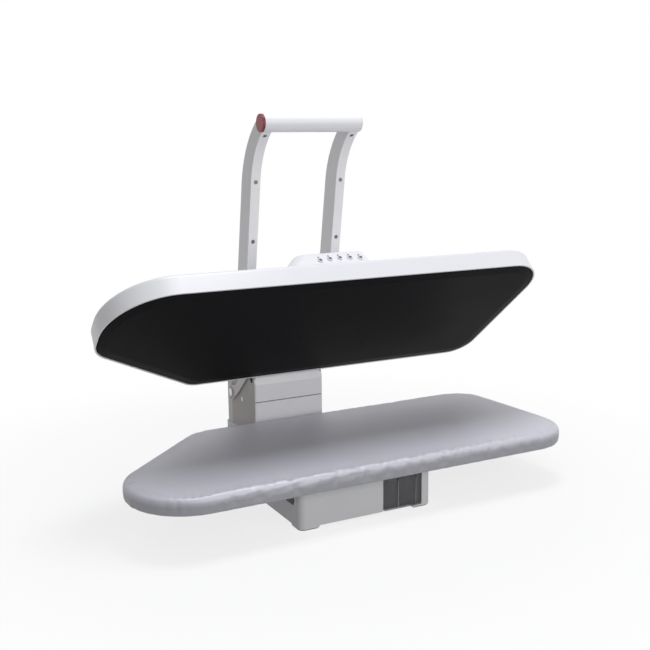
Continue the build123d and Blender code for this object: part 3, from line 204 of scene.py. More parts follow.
# Small tools for material nodes

def add(tree, kind, **settings):
    """Adds a node and sets its own settings."""
    node = tree.nodes.new(kind)
    for name, value in settings.items():
        setattr(node, name, value)
    return node


def give(tree, socket, value):
    """Links an input to another node's output, or sets its own value."""
    if isinstance(value, bpy.types.NodeSocket):
        tree.links.new(value, socket)
    else:
        socket.default_value = value


def feed(tree, node, **inputs):
    """Sets or links a node's inputs by name; an underscore stands for a space."""
    for name, value in inputs.items():
        give(tree, node.inputs[name.replace("_", " ")], value)
    return node


def calculate(tree, operation, *values, **settings):
    """The result of a math node over outputs or plain numbers."""
    node = add(tree, "ShaderNodeMath", operation=operation, **settings)
    for socket, value in zip(node.inputs, values):
        give(tree, socket, value)
    return node.outputs[0]


def shade(value):
    """A screen shade from 0 to 1 as the linear value that a shader takes."""
    return value / 12.92 if value <= 0.04045 else ((value + 0.055) / 1.055) ** 2.4


def colour(red, green, blue):
    """A screen colour as linear values with full alpha."""
    return (shade(red), shade(green), shade(blue), 1.0)


def darker(tone, share):
    """The same colour at a share of its brightness."""
    return tuple(part * share for part in tone[:3]) + (1.0,)


def new_group(name, inputs, outputs):
    """A shader node group with named float inputs and outputs."""
    tree = bpy.data.node_groups.new(name, "ShaderNodeTree")
    for label, value in inputs:
        socket = tree.interface.new_socket(name=label, in_out="INPUT", socket_type="NodeSocketFloat")
        socket.default_value = value
    for label in outputs:
        tree.interface.new_socket(name=label, in_out="OUTPUT", socket_type="NodeSocketFloat")
    return tree, add(tree, "NodeGroupInput"), add(tree, "NodeGroupOutput")


def object_coordinates(tree):
    """Places in the piece's own frame."""
    return add(tree, "ShaderNodeTexCoord").outputs["Object"]


def make_mottle():
    """Slow patches of tone, with finer ones inside them."""
    tree, given, out = new_group("mottle", [("Scale", 12.0), ("Contrast", 1.0)], ["Value"])
    broad = feed(tree, add(tree, "ShaderNodeTexNoise"), Vector=object_coordinates(tree),
                 Scale=given.outputs["Scale"], Detail=4.0)
    span = calculate(tree, "SUBTRACT", broad.outputs["Fac"], 0.5)
    feed(tree, out, Value=calculate(tree, "MULTIPLY_ADD", span, given.outputs["Contrast"], 0.5, use_clamp=True))
    return tree


def make_mould_grain():
    """The fine spark-eroded grain of moulded plastic."""
    tree, given, out = new_group("mould_grain", [("Scale", 900.0)], ["Height"])
    place = object_coordinates(tree)
    cells = feed(tree, add(tree, "ShaderNodeTexVoronoi", feature="SMOOTH_F1"), Vector=place,
                 Scale=given.outputs["Scale"])
    soft = feed(tree, add(tree, "ShaderNodeTexNoise"), Vector=place, Scale=given.outputs["Scale"], Detail=2.0)
    feed(tree, out, Height=calculate(tree, "MULTIPLY", cells.outputs["Distance"], soft.outputs["Fac"]))
    return tree


def make_brushing():
    """Fine lines along one direction, as rolled or turned metal has."""
    tree, given, out = new_group("brushing", [("Scale", 300.0), ("Stretch", 0.03)], ["Height", "Tone"])
    parts = feed(tree, add(tree, "ShaderNodeSeparateXYZ"), Vector=object_coordinates(tree))
    along = calculate(tree, "MULTIPLY", parts.outputs["X"], given.outputs["Stretch"])
    joined = feed(tree, add(tree, "ShaderNodeCombineXYZ"), X=along, Y=parts.outputs["Y"], Z=parts.outputs["Z"])
    lines = feed(tree, add(tree, "ShaderNodeTexNoise"), Vector=joined.outputs[0], Scale=given.outputs["Scale"],
                 Detail=3.0)
    feed(tree, out, Height=lines.outputs["Fac"], Tone=lines.outputs["Fac"])
    return tree


def make_weave():
    """Plain weave: two sets of threads that cross over and under."""
    tree, given, out = new_group("weave", [("Threads", 1500.0)], ["Height"])
    place = object_coordinates(tree)
    sets = []
    for direction in ("X", "Y"):
        wave = add(tree, "ShaderNodeTexWave", bands_direction=direction, wave_profile="SIN")
        feed(tree, wave, Vector=place, Scale=given.outputs["Threads"], Distortion=0.6, Detail=1.0)
        sets.append(wave.outputs["Fac"])
    feed(tree, out, Height=calculate(tree, "MAXIMUM", *sets))
    return tree


MOTTLE = make_mottle()
MOULD_GRAIN = make_mould_grain()
BRUSHING = make_brushing()
WEAVE = make_weave()


def place_group(tree, group, **inputs):
    """Places a shared effect in a material with its own values."""
    return feed(tree, add(tree, "ShaderNodeGroup", node_tree=group), **inputs)


def blank(name):
    """A new node material and its shader."""
    material = bpy.data.materials.new(name)
    material.use_nodes = True
    return material, material.node_tree, material.node_tree.nodes["Principled BSDF"]


def two_tone(tree, factor, low, high, blend_type="MIX"):
    """A colour that runs between two tones, or is one multiplied by the other."""
    mix = add(tree, "ShaderNodeMix", data_type="RGBA", blend_type=blend_type)
    for name, value in (("Factor", factor), ("A", low), ("B", high)):
        give(tree, mix.inputs[name], value)
    return mix.outputs["Result"]


def ranged(tree, factor, low, high):
    """A number that runs between two limits."""
    span = add(tree, "ShaderNodeMapRange")
    feed(tree, span, Value=factor, To_Min=low, To_Max=high)
    return span.outputs["Result"]


def bumped(tree, shader, height, strength, distance):
    """Feeds a height to the shader's normal."""
    bump = feed(tree, add(tree, "ShaderNodeBump"), Height=height, Strength=strength, Distance=distance)
    tree.links.new(bump.outputs["Normal"], shader.inputs["Normal"])


def plastic(name, tone, rough=0.38, grain=0.12, coat=0.0):
    """Moulded plastic: even colour with faint patches and a fine mould grain."""
    material, tree, shader = blank(name)
    patch = place_group(tree, MOTTLE, Scale=9.0, Contrast=1.6).outputs["Value"]
    wipe = place_group(tree, MOTTLE, Scale=34.0, Contrast=2.2).outputs["Value"]
    grains = place_group(tree, MOULD_GRAIN, Scale=950.0).outputs["Height"]
    feed(tree, shader, Base_Color=two_tone(tree, patch, darker(tone, share=0.97), tone), IOR=1.48,
         Roughness=ranged(tree, wipe, low=rough - 0.05, high=rough + 0.06), Coat_Weight=coat, Coat_Roughness=0.12)
    bumped(tree, shader, grains, strength=grain, distance=GRAIN_DEPTH)
    return material


def metal(name, tone, rough=0.32, lines=0.12, scale=280.0):
    """Bare or plated metal with fine drawn lines."""
    material, tree, shader = blank(name)
    brushed = place_group(tree, BRUSHING, Scale=scale, Stretch=0.04)
    patch = place_group(tree, MOTTLE, Scale=24.0, Contrast=1.8).outputs["Value"]
    feed(tree, shader, Base_Color=two_tone(tree, brushed.outputs["Tone"], darker(tone, share=0.86), tone),
         Roughness=ranged(tree, patch, low=rough - 0.06, high=rough + 0.08), Metallic=1.0)
    bumped(tree, shader, brushed.outputs["Height"], strength=lines, distance=GRAIN_DEPTH)
    return material


def painted_steel(name, tone):
    """Sheet steel under a powder coat."""
    material, tree, shader = blank(name)
    peel = place_group(tree, MOTTLE, Scale=420.0, Contrast=1.0).outputs["Value"]
    patch = place_group(tree, MOTTLE, Scale=14.0, Contrast=1.5).outputs["Value"]
    feed(tree, shader, Base_Color=two_tone(tree, patch, darker(tone, share=0.9), tone),
         Roughness=ranged(tree, patch, low=0.38, high=0.48), Metallic=0.0)
    bumped(tree, shader, peel, strength=0.25, distance=PEEL_DEPTH)
    return material


def rubber(name, tone, rough=0.72):
    """Moulded rubber with a dry, slightly dusty surface."""
    material, tree, shader = blank(name)
    dust = place_group(tree, MOTTLE, Scale=60.0, Contrast=2.6).outputs["Value"]
    grains = place_group(tree, MOULD_GRAIN, Scale=600.0).outputs["Height"]
    pale = tuple(min(1.0, part + 0.03) for part in tone[:3]) + (1.0,)
    feed(tree, shader, Base_Color=two_tone(tree, dust, tone, pale), Roughness=rough)
    bumped(tree, shader, grains, strength=0.3, distance=PEEL_DEPTH)
    return material


def soleplate_coat():
    """Black non-stick coating: satin, with a faint orange peel and slightly polished patches."""
    tone = colour(0.125, 0.122, 0.128)
    material, tree, shader = blank("soleplate_coat")
    patch = place_group(tree, MOTTLE, Scale=5.0, Contrast=1.6).outputs["Value"]
    speckle = place_group(tree, MOTTLE, Scale=700.0, Contrast=1.2).outputs["Value"]
    feed(tree, shader, Base_Color=two_tone(tree, speckle, darker(tone, share=0.8), tone),
         Roughness=ranged(tree, patch, low=0.38, high=0.5), IOR=1.45, Specular_IOR_Level=0.025)
    bumped(tree, shader, speckle, strength=0.12, distance=GRAIN_DEPTH)
    return material


def cover_cloth():
    """Heat-reflecting cloth: an aluminised weave with a soft metallic sheen, with painted shade down its side and
    a painted shade where it faces the view.
    """
    tone = colour(0.86, 0.86, 0.895)
    material, tree, shader = blank("cover_cloth")
    threads = place_group(tree, WEAVE, Threads=520.0).outputs["Height"]
    patch = place_group(tree, MOTTLE, Scale=7.0, Contrast=1.8).outputs["Value"]
    fine = place_group(tree, MOTTLE, Scale=160.0, Contrast=1.4).outputs["Value"]
    woven = two_tone(tree, threads, darker(tone, share=0.86), tone)
    worn = two_tone(tree, patch, (0.93, 0.93, 0.94, 1.0), (1.0, 1.0, 1.0, 1.0))
    cloth = two_tone(tree, 1.0, woven, worn, blend_type="MULTIPLY")
    # Painted shade: the cloth darkens down its side towards the hem, standing in for the shade that falls there
    height = feed(tree, add(tree, "ShaderNodeSeparateXYZ"), Vector=object_coordinates(tree)).outputs["Z"]
    side = feed(tree, add(tree, "ShaderNodeMapRange"), Value=height, From_Min=COVER_SHADE_LOW,
                From_Max=COVER_SHADE_HIGH, To_Min=0.5, To_Max=1.0)
    # Painted shade and sheen: the cloth is a little darker where it faces the view and full tone at a slant,
    # standing in for how the light falls on it
    slant = feed(tree, add(tree, "ShaderNodeLayerWeight"), Blend=0.5)
    painted_facing_shade = ranged(tree, slant.outputs["Facing"], low=0.92, high=1.0)
    painted_shade_level = calculate(tree, "MULTIPLY", side.outputs["Result"], painted_facing_shade)
    feed(tree, shader, Base_Color=two_tone(tree, 1.0, cloth, painted_shade_level, blend_type="MULTIPLY"),
         Roughness=ranged(tree, fine, low=0.44, high=0.56), Metallic=0.25, Sheen_Weight=0.15)
    bumped(tree, shader, threads, strength=0.35, distance=THREAD_DEPTH)
    return material


def smoked_plastic():
    """Clear plastic with a dark smoke tint."""
    material, tree, shader = blank("smoked_plastic")
    patch = place_group(tree, MOTTLE, Scale=18.0, Contrast=1.5).outputs["Value"]
    feed(tree, shader, Base_Color=two_tone(tree, patch, colour(0.60, 0.60, 0.62), colour(0.66, 0.66, 0.68)),
         Roughness=ranged(tree, patch, low=0.03, high=0.06), IOR=1.49, Transmission_Weight=0.92)
    return material


def light_cap():
    """A small smoke-grey lamp cap."""
    material, tree, shader = blank("light_cap")
    patch = place_group(tree, MOTTLE, Scale=500.0, Contrast=1.2).outputs["Value"]
    feed(tree, shader, Base_Color=two_tone(tree, patch, colour(0.50, 0.50, 0.53), colour(0.58, 0.58, 0.60)),
         Roughness=0.2)
    return material


def circuit_card():
    """Green lacquered card."""
    material, tree, shader = blank("circuit_card")
    patch = place_group(tree, MOTTLE, Scale=240.0, Contrast=3.0).outputs["Value"]
    feed(tree, shader, Base_Color=two_tone(tree, patch, colour(0.06, 0.22, 0.12), colour(0.10, 0.32, 0.18)),
         Roughness=0.35)
    return material


WHITE = colour(0.90, 0.90, 0.91)
FINISHES = {
    "white_plastic": plastic("white_plastic", WHITE, rough=0.34, coat=0.15),
    "grey_plastic": plastic("grey_plastic", colour(0.66, 0.64, 0.62), rough=0.46, grain=0.2),
    "strip_plastic": plastic("strip_plastic", colour(0.965, 0.965, 0.97), rough=0.40),
    # Base plastic: its own pale grey, darkened a little as painted shade from the board above it
    "base_plastic_shaded": plastic("base_plastic_shaded", colour(0.79, 0.79, 0.80), rough=0.40),
    "arm_plastic": plastic("arm_plastic", colour(0.935, 0.93, 0.935), rough=0.42, grain=0.16),
    "grip_plastic": plastic("grip_plastic", colour(0.94, 0.94, 0.95), rough=0.36, coat=0.15),
    "rear_plastic": plastic("rear_plastic", colour(0.79, 0.78, 0.775), rough=0.44),
    "red_plastic": plastic("red_plastic", colour(0.55, 0.06, 0.14), rough=0.38, coat=0.1),
    "black_plastic": plastic("black_plastic", colour(0.13, 0.13, 0.14), rough=0.45, grain=0.2),
    "button_plastic": plastic("button_plastic", colour(0.86, 0.86, 0.88), rough=0.36),
    # Painted highlight: a light grey for the strips that stand in for the light caught by the tank's inner ribs
    "rib_highlight_plastic": plastic("rib_highlight_plastic", colour(0.60, 0.60, 0.63), rough=0.3),
    "mark_plastic": plastic("mark_plastic", colour(0.33, 0.32, 0.38), rough=0.45),
    "arm_paint": painted_steel("arm_paint", colour(0.84, 0.825, 0.815)),
    "nut_paint": painted_steel("nut_paint", colour(0.72, 0.70, 0.69)),
    "smoked_plastic": smoked_plastic(),
    "soleplate_coat": soleplate_coat(),
    "cover_cloth": cover_cloth(),
    "cast_alloy": metal("cast_alloy", colour(0.78, 0.78, 0.79), rough=0.5, lines=0.2, scale=160.0),
    "steel": metal("steel", colour(0.76, 0.76, 0.78), rough=0.3),
    "spring_steel": metal("spring_steel", colour(0.62, 0.62, 0.64), rough=0.26),
    "brass": metal("brass", colour(0.85, 0.74, 0.46), rough=0.28),
    "dark_steel": painted_steel("dark_steel", colour(0.30, 0.30, 0.31)),
    "screw_steel": metal("screw_steel", colour(0.54, 0.54, 0.56), rough=0.36),
    "seal_rubber": rubber("seal_rubber", colour(0.16, 0.16, 0.165)),
    "hose_rubber": rubber("hose_rubber", colour(0.74, 0.72, 0.69), rough=0.5),
    "gasket_rubber": rubber("gasket_rubber", colour(0.60, 0.22, 0.16)),
    "pad_foam": rubber("pad_foam", colour(0.80, 0.78, 0.72), rough=0.9),
    "card": circuit_card(),
    "light": light_cap(),
}

# Nodes whose finish differs from the plain one of their slot
NODE_FINISHES = {"head_arm_left": "arm_paint", "head_arm_right": "arm_paint", "hinge_nuts": "nut_paint",
                 "base_casing": "base_plastic_shaded", "column_rear_cover": "rear_plastic", "grip_tube": "grip_plastic"}


def dress_nodes():
    """Gives every CAD node the finish of its material slot, or its own."""
    for entry in frame["record"]["subparts"]:
        node = frame["nodes"].get(entry["node"])
        if node is None:
            continue
        finish = FINISHES[NODE_FINISHES.get(entry["node"], entry["material_slot"])]
        node.data.materials.clear()
        node.data.materials.append(finish)


def piece(name, mesh, finish, smooth=True):
    """A finished piece at the origin, with its place in its mesh."""
    made = bpy.data.objects.new(name, mesh)
    bpy.context.scene.collection.objects.link(made)
    mesh.materials.clear()
    mesh.materials.append(FINISHES[finish])
    for face in mesh.polygons:
        face.use_smooth = smooth
    return made


# Shared shapes

def join_rings(build, rings):
    """Faces between each ring of points and the next."""
    for lower, upper in zip(rings, rings[1:]):
        for index in range(len(lower)):
            after = (index + 1) % len(lower)
            build.faces.new((lower[index], lower[after], upper[after], upper[index]))


def closed_mesh(build, name):
    """The finished mesh of a build, with its faces turned outward."""
    bmesh.ops.recalc_face_normals(build, faces=build.faces)
    mesh = bpy.data.meshes.new(name)
    build.to_mesh(mesh)
    build.free()
    return mesh


def outline_arcs(inset):
    """The board outline's corner arcs, drawn in by an inset: centre, radius, first angle and turn."""
    corners = [(Vector((x * MM, y * MM)), radius * MM) for x, y, radius in OUTLINE_CORNERS]
    arcs = []
    for index, (corner, radius) in enumerate(corners):
        before = (corner - corners[index - 1][0]).normalized()
        after = (corners[(index + 1) % len(corners)][0] - corner).normalized()
        turn = before.angle_signed(after) * -1
        reach = radius * tan(turn / 2)
        start = corner - before * reach
        centre = start + Vector((-before.y, before.x)) * radius
        from_angle = atan2(start.y - centre.y, start.x - centre.x)
        arcs.append((centre, radius - inset, from_angle, turn))
    return arcs


def outline_points(inset, count):
    """Points evenly spaced along the board outline, each with its outward direction."""
    arcs = outline_arcs(inset)
    walk = []
    for index, (centre, radius, angle, turn) in enumerate(arcs):
        walk.append(("arc", abs(radius * turn), centre, radius, angle, turn))
        end = centre + Vector((cos(angle + turn), sin(angle + turn))) * radius
        next_centre, next_radius, next_angle, _ = arcs[(index + 1) % len(arcs)]
        start = next_centre + Vector((cos(next_angle), sin(next_angle))) * next_radius
        walk.append(("line", (start - end).length, end, start, angle + turn, 0))
    total = sum(part[1] for part in walk)
    points = []
    for step in range(count):
        left = total * step / count
        for part in walk:
            if left <= part[1] or part is walk[-1]:
                break
            left -= part[1]
        if part[0] == "arc":
            _, length, centre, radius, angle, turn = part
            here = angle + turn * left / length
            outward = Vector((cos(here), sin(here)))
            points.append((centre + outward * radius, outward))
        else:
            _, length, end, start, angle, _ = part
            points.append((end.lerp(start, left / length), Vector((cos(angle), sin(angle)))))
    return points


RIM = outline_points(0.0, COVER_POINTS)


def near_rim(place, choices):
    """The nearest of the chosen rim points to a place: its index, its outward direction and the place's depth."""
    flat = place.xy - BASE_MIDDLE.xy
    index = min(choices, key=lambda at: (RIM[at % COVER_POINTS][0] - flat).length_squared) % COVER_POINTS
    point, outward = RIM[index]
    return index, outward, (point - flat).dot(outward)


# Board cover

def cover_rings(bottom, top):
    """Insets and heights of the cover's rings, from the hem's inner edge over the side to the crown."""
    rings = [(COVER_HEM, COVER_UNDER), (COVER_HEM, bottom + COVER_LOW_ROUND / 2), (COVER_HEM, bottom)]
    rings += [(COVER_HEM * share, bottom) for share in COVER_HEM_SHARES]
    for step in range(1, COVER_ROUND_STEPS):
        angle = pi / 2 * step / COVER_ROUND_STEPS
        rings.append((COVER_LOW_ROUND * (1 - sin(angle)), bottom + COVER_LOW_ROUND * (1 - cos(angle))))
    high = top + COVER_EDGE_RISE - COVER_EDGE
    low = bottom + COVER_LOW_ROUND
    for step in range(COVER_SIDE_STEPS + 1):
        rings.append((0.0, low + (high - low) * step / COVER_SIDE_STEPS))
    for step in range(1, COVER_ROUND_STEPS + 1):
        angle = pi / 2 * step / COVER_ROUND_STEPS
        rings.append((COVER_EDGE * (1 - cos(angle)), high + COVER_EDGE * sin(angle)))
    return rings


def spine_point(point):
    """The nearest place on the cover's middle line."""
    return Vector((min(max(point.x, SPINE_LEFT), SPINE_RIGHT), SPINE_Y))


def cover_mesh():
    """The padded board's closed form: hem turned under, rounded edge and a slightly crowned top."""
    low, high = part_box("board_cover")
    bottom = low[2]
    top = high[2]
    rows = [[(spine_point(point), COVER_UNDER) for point, _ in RIM]]
    for inset, height in cover_rings(bottom, top):
        rows.append([(point - outward * inset, height) for point, outward in RIM])
    for step in range(1, COVER_TOP_STEPS + 1):
        share = (step / COVER_TOP_STEPS) ** COVER_TOP_POWER
        crown = min(1.0, share * COVER_CROWN_SPEED) ** COVER_CROWN_POWER
        height = top + COVER_EDGE_RISE + (COVER_CROWN - COVER_EDGE_RISE) * crown
        row = []
        for point, outward in RIM:
            start = point - outward * COVER_EDGE
            row.append((start.lerp(spine_point(start), share), height))
        rows.append(row)
    build = bmesh.new()
    join_rings(build, [[build.verts.new(BASE_MIDDLE + Vector((flat.x, flat.y, height))) for flat, height in row]
                       for row in rows])
    bmesh.ops.remove_doubles(build, verts=build.verts, dist=COVER_WELD)
    bmesh.ops.dissolve_degenerate(build, edges=build.edges, dist=COVER_SLIVER)
    return closed_mesh(build, "board_cover_cloth")


def pucker(mesh):
    """Starts the gathers: small radial waves that grow from the top edge down to the hem."""
    low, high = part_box("board_cover")
    for vertex in mesh.vertices:
        nearest = near_rim(vertex.co, RIM_COARSE)[0]
        around = range(nearest - RIM_COARSE.step, nearest + RIM_COARSE.step + 1)
        index, outward, depth = near_rim(vertex.co, around)
        if depth > PUCKER_REACH:
            continue
        turn = 2 * pi * index / COVER_POINTS
        wave = sum(share * sin(count * turn + count) for count, share in PUCKERS)
        calm = PUCKER_LEAST + (1 - PUCKER_LEAST) * sin(PUCKER_CALMS * turn + PUCKER_PHASE) ** 2
        height = (vertex.co.z - low[2]) / (high[2] - low[2])
        fade = max(0.0, 1 - height) ** PUCKER_FADE
        shift = outward * (PUCKER_HEIGHT * wave * calm * fade)
        vertex.co.x += shift.x
        vertex.co.y += shift.y


def gather(cover):
    """Lets the side buckle as cloth; the flat top, the hem and what lies by the panel keep their places."""
    mesh = cover.data
    before = [vertex.co.copy() for vertex in mesh.vertices]
    held = cover.vertex_groups.new(name="held")
    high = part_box("board_cover")[1]
    for vertex in mesh.vertices:
        depth = near_rim(vertex.co, RIM_COARSE)[2]
        top_flat = vertex.co.z > high[2] and depth > COVER_EDGE * CLOTH_TOP_HELD
        hem_edge = depth > COVER_HEM * CLOTH_HEM_HELD and vertex.co.z < high[2] - COVER_EDGE
        if top_flat or hem_edge:
            held.add([vertex.index], 1.0, "REPLACE")
    cloth = cover.modifiers.new("gather", "CLOTH")
    for name, value in CLOTH_SETTINGS.items():
        setattr(cloth.settings, name, value)
    cloth.settings.effector_weights.gravity = 0
    cloth.collision_settings.use_collision = False
    cloth.collision_settings.use_self_collision = False
    scene = bpy.context.scene
    for number in range(1, CLOTH_FRAMES + 1):
        scene.frame_set(number)
    graph = bpy.context.evaluated_depsgraph_get()
    result = bpy.data.meshes.new_from_object(cover.evaluated_get(graph))
    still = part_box("board_panel")[1][2]
    for start, vertex, moved in zip(before, mesh.vertices, result.vertices):
        move = (moved.co - start) * min(1.0, max(0.0, (start.z - still) / CLOTH_FREE_RISE))
        if move.length > CLOTH_MOST_MOVE:
            move = move.normalized() * CLOTH_MOST_MOVE
        vertex.co = start + move
    cover.modifiers.remove(cloth)
    cover.vertex_groups.clear()
    bpy.data.meshes.remove(result)
    scene.frame_set(1)


def fold(mesh):
    """Long creases and short pleats along the front edge, each a soft ridge or furrow beside one line."""
    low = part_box("board_cover")[0]
    shifts = []
    for vertex in mesh.vertices:
        flat = vertex.co.xy - BASE_MIDDLE.xy
        if flat.y > FOLD_FRONT or vertex.co.z < low[2] + COVER_LOW_ROUND / 2:
            continue
        run = vertex.co.z - low[2] + max(0.0, near_rim(vertex.co, RIM_MEDIUM)[2])
        place = Vector((flat.x, run))
        lift = 0.0
        for start, end, width, height in FOLDS:
            first = Vector(start) * MM
            along = Vector(end) * MM - first
            share = min(1.0, max(0.0, (place - first).dot(along) / along.length_squared))
            away = (place - first - along * share).length
            swell = FOLD_ENDS + (1 - FOLD_ENDS) * sin(pi * share)
            lift += height * MM * exp(-(away / (width * MM)) ** 2) * swell
        shifts.append((vertex, vertex.normal * lift))
    for vertex, shift in shifts:
        vertex.co += shift


def keep_over_panel(mesh):
    """Draws the cloth back out where it would reach the rigid panel's edge or lower corner."""
    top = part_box("board_panel")[1][2] + PANEL_ABOVE
    round_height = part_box("board_cover")[0][2] + COVER_LOW_ROUND
    least = COVER_LOW_ROUND - PANEL_CLEAR
    for vertex in mesh.vertices:
        if vertex.co.z > top:
            continue
        _, outward, depth = near_rim(vertex.co, RIM_FINE)
        if depth > PANEL_DEPTH:
            continue
        side = max(0.0, COVER_LOW_ROUND - depth)
        down = max(0.0, round_height - vertex.co.z)
        reach = hypot(side, down)
        if 0.0 < reach < least:
            push = least / reach - 1
            vertex.co += Vector((outward.x * side, outward.y * side, -down)) * push


def make_board_cover():
    """The cover in the place of the plain cover and pad, which the head closes on."""
    mesh = cover_mesh()
    pucker(mesh)
    cover = piece("board_cover_cloth", mesh, "cover_cloth")
    gather(cover)
    fold(mesh)
    keep_over_panel(mesh)
    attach(cover, "stand")
    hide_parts("board_cover", "board_pad")
    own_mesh(cover)


# Screws, button marks, tank ribs and hem stitches

def islands(mesh):
    """The separate solids of a CAD node's mesh, each as a list of points."""
    build = bmesh.new()
    build.from_mesh(mesh)
    bmesh.ops.remove_doubles(build, verts=build.verts, dist=WELD)
    left = set(build.verts)
    found = []
    while left:
        stack = [left.pop()]
        group = []
        while stack:
            vertex = stack.pop()
            group.append(vertex.co.copy())
            for edge in vertex.link_edges:
                other = edge.other_vert(vertex)
                if other in left:
                    left.remove(other)
                    stack.append(other)
        found.append(group)
    build.free()
    return found


def screw_aim(points):
    """A screw's head end and the direction that its head faces."""
    some = points[::AXIS_SAMPLE]
    far = max(((a, b) for a in some for b in some), key=lambda pair: (pair[0] - pair[1]).length_squared)
    middle = sum(points, Vector()) / len(points)
    spread = Matrix(((0, 0, 0), (0, 0, 0), (0, 0, 0)))
    for point in points:
        off = point - middle
        spread += Matrix([[off[i] * off[j] for j in range(3)] for i in range(3)])
    axis = (far[0] - far[1]).normalized()
    for _ in range(AXIS_ROUNDS):
        axis = (spread @ axis).normalized()
    ends = [(point - middle).dot(axis) for point in points]
    widest = max(points, key=lambda point: ((point - middle) - axis * (point - middle).dot(axis)).length)
    if (widest - middle).dot(axis) < 0:
        axis.negate()
        ends = [-end for end in ends]
    return middle + axis * max(ends), axis


def geometry_tree(name, labels):
    """A geometry tree with labelled sizes and a finish, its inputs' identifiers and its two end nodes."""
    tree = bpy.data.node_groups.new(name, "GeometryNodeTree")
    for way in ("INPUT", "OUTPUT"):
        tree.interface.new_socket(name="Geometry", in_out=way, socket_type="NodeSocketGeometry")
    names = {}
    for label in labels:
        socket = tree.interface.new_socket(name=label, in_out="INPUT", socket_type="NodeSocketFloat")
        names[label] = socket.identifier
    finish = tree.interface.new_socket(name="Finish", in_out="INPUT", socket_type="NodeSocketMaterial")
    names["Finish"] = finish.identifier
    return tree, names, add(tree, "NodeGroupInput"), add(tree, "NodeGroupOutput")


def spread_and_finish(tree, given, out, points, instance, aim):
    """Sets an instance on each point with its Z axis along the aim, makes them real and gives them the finish."""
    turned = feed(tree, add(tree, "FunctionNodeAlignRotationToVector", axis="Z"), Vector=aim)
    spread = feed(tree, add(tree, "GeometryNodeInstanceOnPoints"), Points=points, Instance=instance,
                  Rotation=turned.outputs["Rotation"])
    real = feed(tree, add(tree, "GeometryNodeRealizeInstances"), Geometry=spread.outputs["Instances"])
    finish = feed(tree, add(tree, "GeometryNodeSetMaterial"), Geometry=real.outputs[0],
                  Material=given.outputs["Finish"])
    tree.links.new(finish.outputs[0], out.inputs[0])


def make_screw_tree():
    """Cross-recessed screws on points: each point's aim says which way its head faces."""
    tree, names, given, out = geometry_tree("screws", SCREW_LABELS)

    def times(label, factor):
        return calculate(tree, "MULTIPLY", given.outputs[label], factor)

    def lowered(geometry, depth):
        """Moves a piece of the screw down from the head's top by a depth."""
        place = feed(tree, add(tree, "ShaderNodeCombineXYZ"), Z=calculate(tree, "MULTIPLY", depth, -1.0))
        moved = feed(tree, add(tree, "GeometryNodeTransform"), Geometry=geometry, Translation=place.outputs[0])
        return moved.outputs[0]

    head = feed(tree, add(tree, "GeometryNodeMeshCylinder"), Vertices=SCREW_SIDES,
                Radius=given.outputs["Head Radius"], Depth=given.outputs["Head Height"])
    shank = feed(tree, add(tree, "GeometryNodeMeshCylinder"), Vertices=SHANK_SIDES,
                 Radius=given.outputs["Shank Radius"], Depth=given.outputs["Shank Length"])
    shank_depth = calculate(tree, "MULTIPLY_ADD", given.outputs["Shank Length"], 0.5,
                            times("Head Height", SHANK_START))
    cut = add(tree, "GeometryNodeMeshBoolean", operation="DIFFERENCE", solver="EXACT")
    tree.links.new(lowered(head.outputs["Mesh"], times("Head Height", 0.5)), cut.inputs["Mesh 1"])
    length = times("Head Radius", SLOT_LENGTH)
    width = given.outputs["Slot Width"]
    for across, along in ((length, width), (width, length)):
        measure = feed(tree, add(tree, "ShaderNodeCombineXYZ"), X=across, Y=along, Z=times("Slot Depth", 2.0))
        slot = feed(tree, add(tree, "GeometryNodeMeshCube"), Size=measure.outputs[0])
        tree.links.new(slot.outputs["Mesh"], cut.inputs["Mesh 2"])
    whole = add(tree, "GeometryNodeJoinGeometry")
    for part in (cut.outputs["Mesh"], lowered(shank.outputs["Mesh"], shank_depth)):
        tree.links.new(part, whole.inputs[0])
    aim = feed(tree, add(tree, "GeometryNodeInputNamedAttribute", data_type="FLOAT_VECTOR"), Name="aim")
    spread_and_finish(tree, given, out, given.outputs["Geometry"], whole.outputs[0], aim.outputs["Attribute"])
    return tree, names


def baked(name, seed, tree, names, sizes, finish):
    """Runs a geometry tree over a seed mesh and keeps the result as a plain piece."""
    holder = bpy.data.objects.new(name + "_seed", seed)
    bpy.context.scene.collection.objects.link(holder)
    modifier = holder.modifiers.new("tree", "NODES")
    modifier.node_group = tree
    for label, size in sizes.items():
        modifier[names[label]] = size
    modifier[names["Finish"]] = FINISHES[finish]
    graph = bpy.context.evaluated_depsgraph_get()
    mesh = bpy.data.meshes.new_from_object(holder.evaluated_get(graph))
    bpy.data.objects.remove(holder)
    return piece(name, mesh, finish, smooth=False)


def make_screws(tree, names, name, node, body, finish, measures):
    """Replaces a node's plain screws with cross-recessed ones in the same places."""
    aims = [screw_aim(points) for points in islands(frame["nodes"][node].data)]
    seed = bpy.data.meshes.new(name + "_points")
    seed.from_pydata([top for top, _ in aims], [], [])
    stored = seed.attributes.new("aim", "FLOAT_VECTOR", "POINT")
    for index, (_, axis) in enumerate(aims):
        stored.data[index].vector = axis
    sizes = [measure * MM for measure in measures]
    sizes += [sizes[0] * SLOT_WIDTH, sizes[1] * SLOT_DEPTH]
    screws = baked(name, seed, tree, names, dict(zip(SCREW_LABELS, sizes)), finish)
    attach(screws, body)
    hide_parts(node)


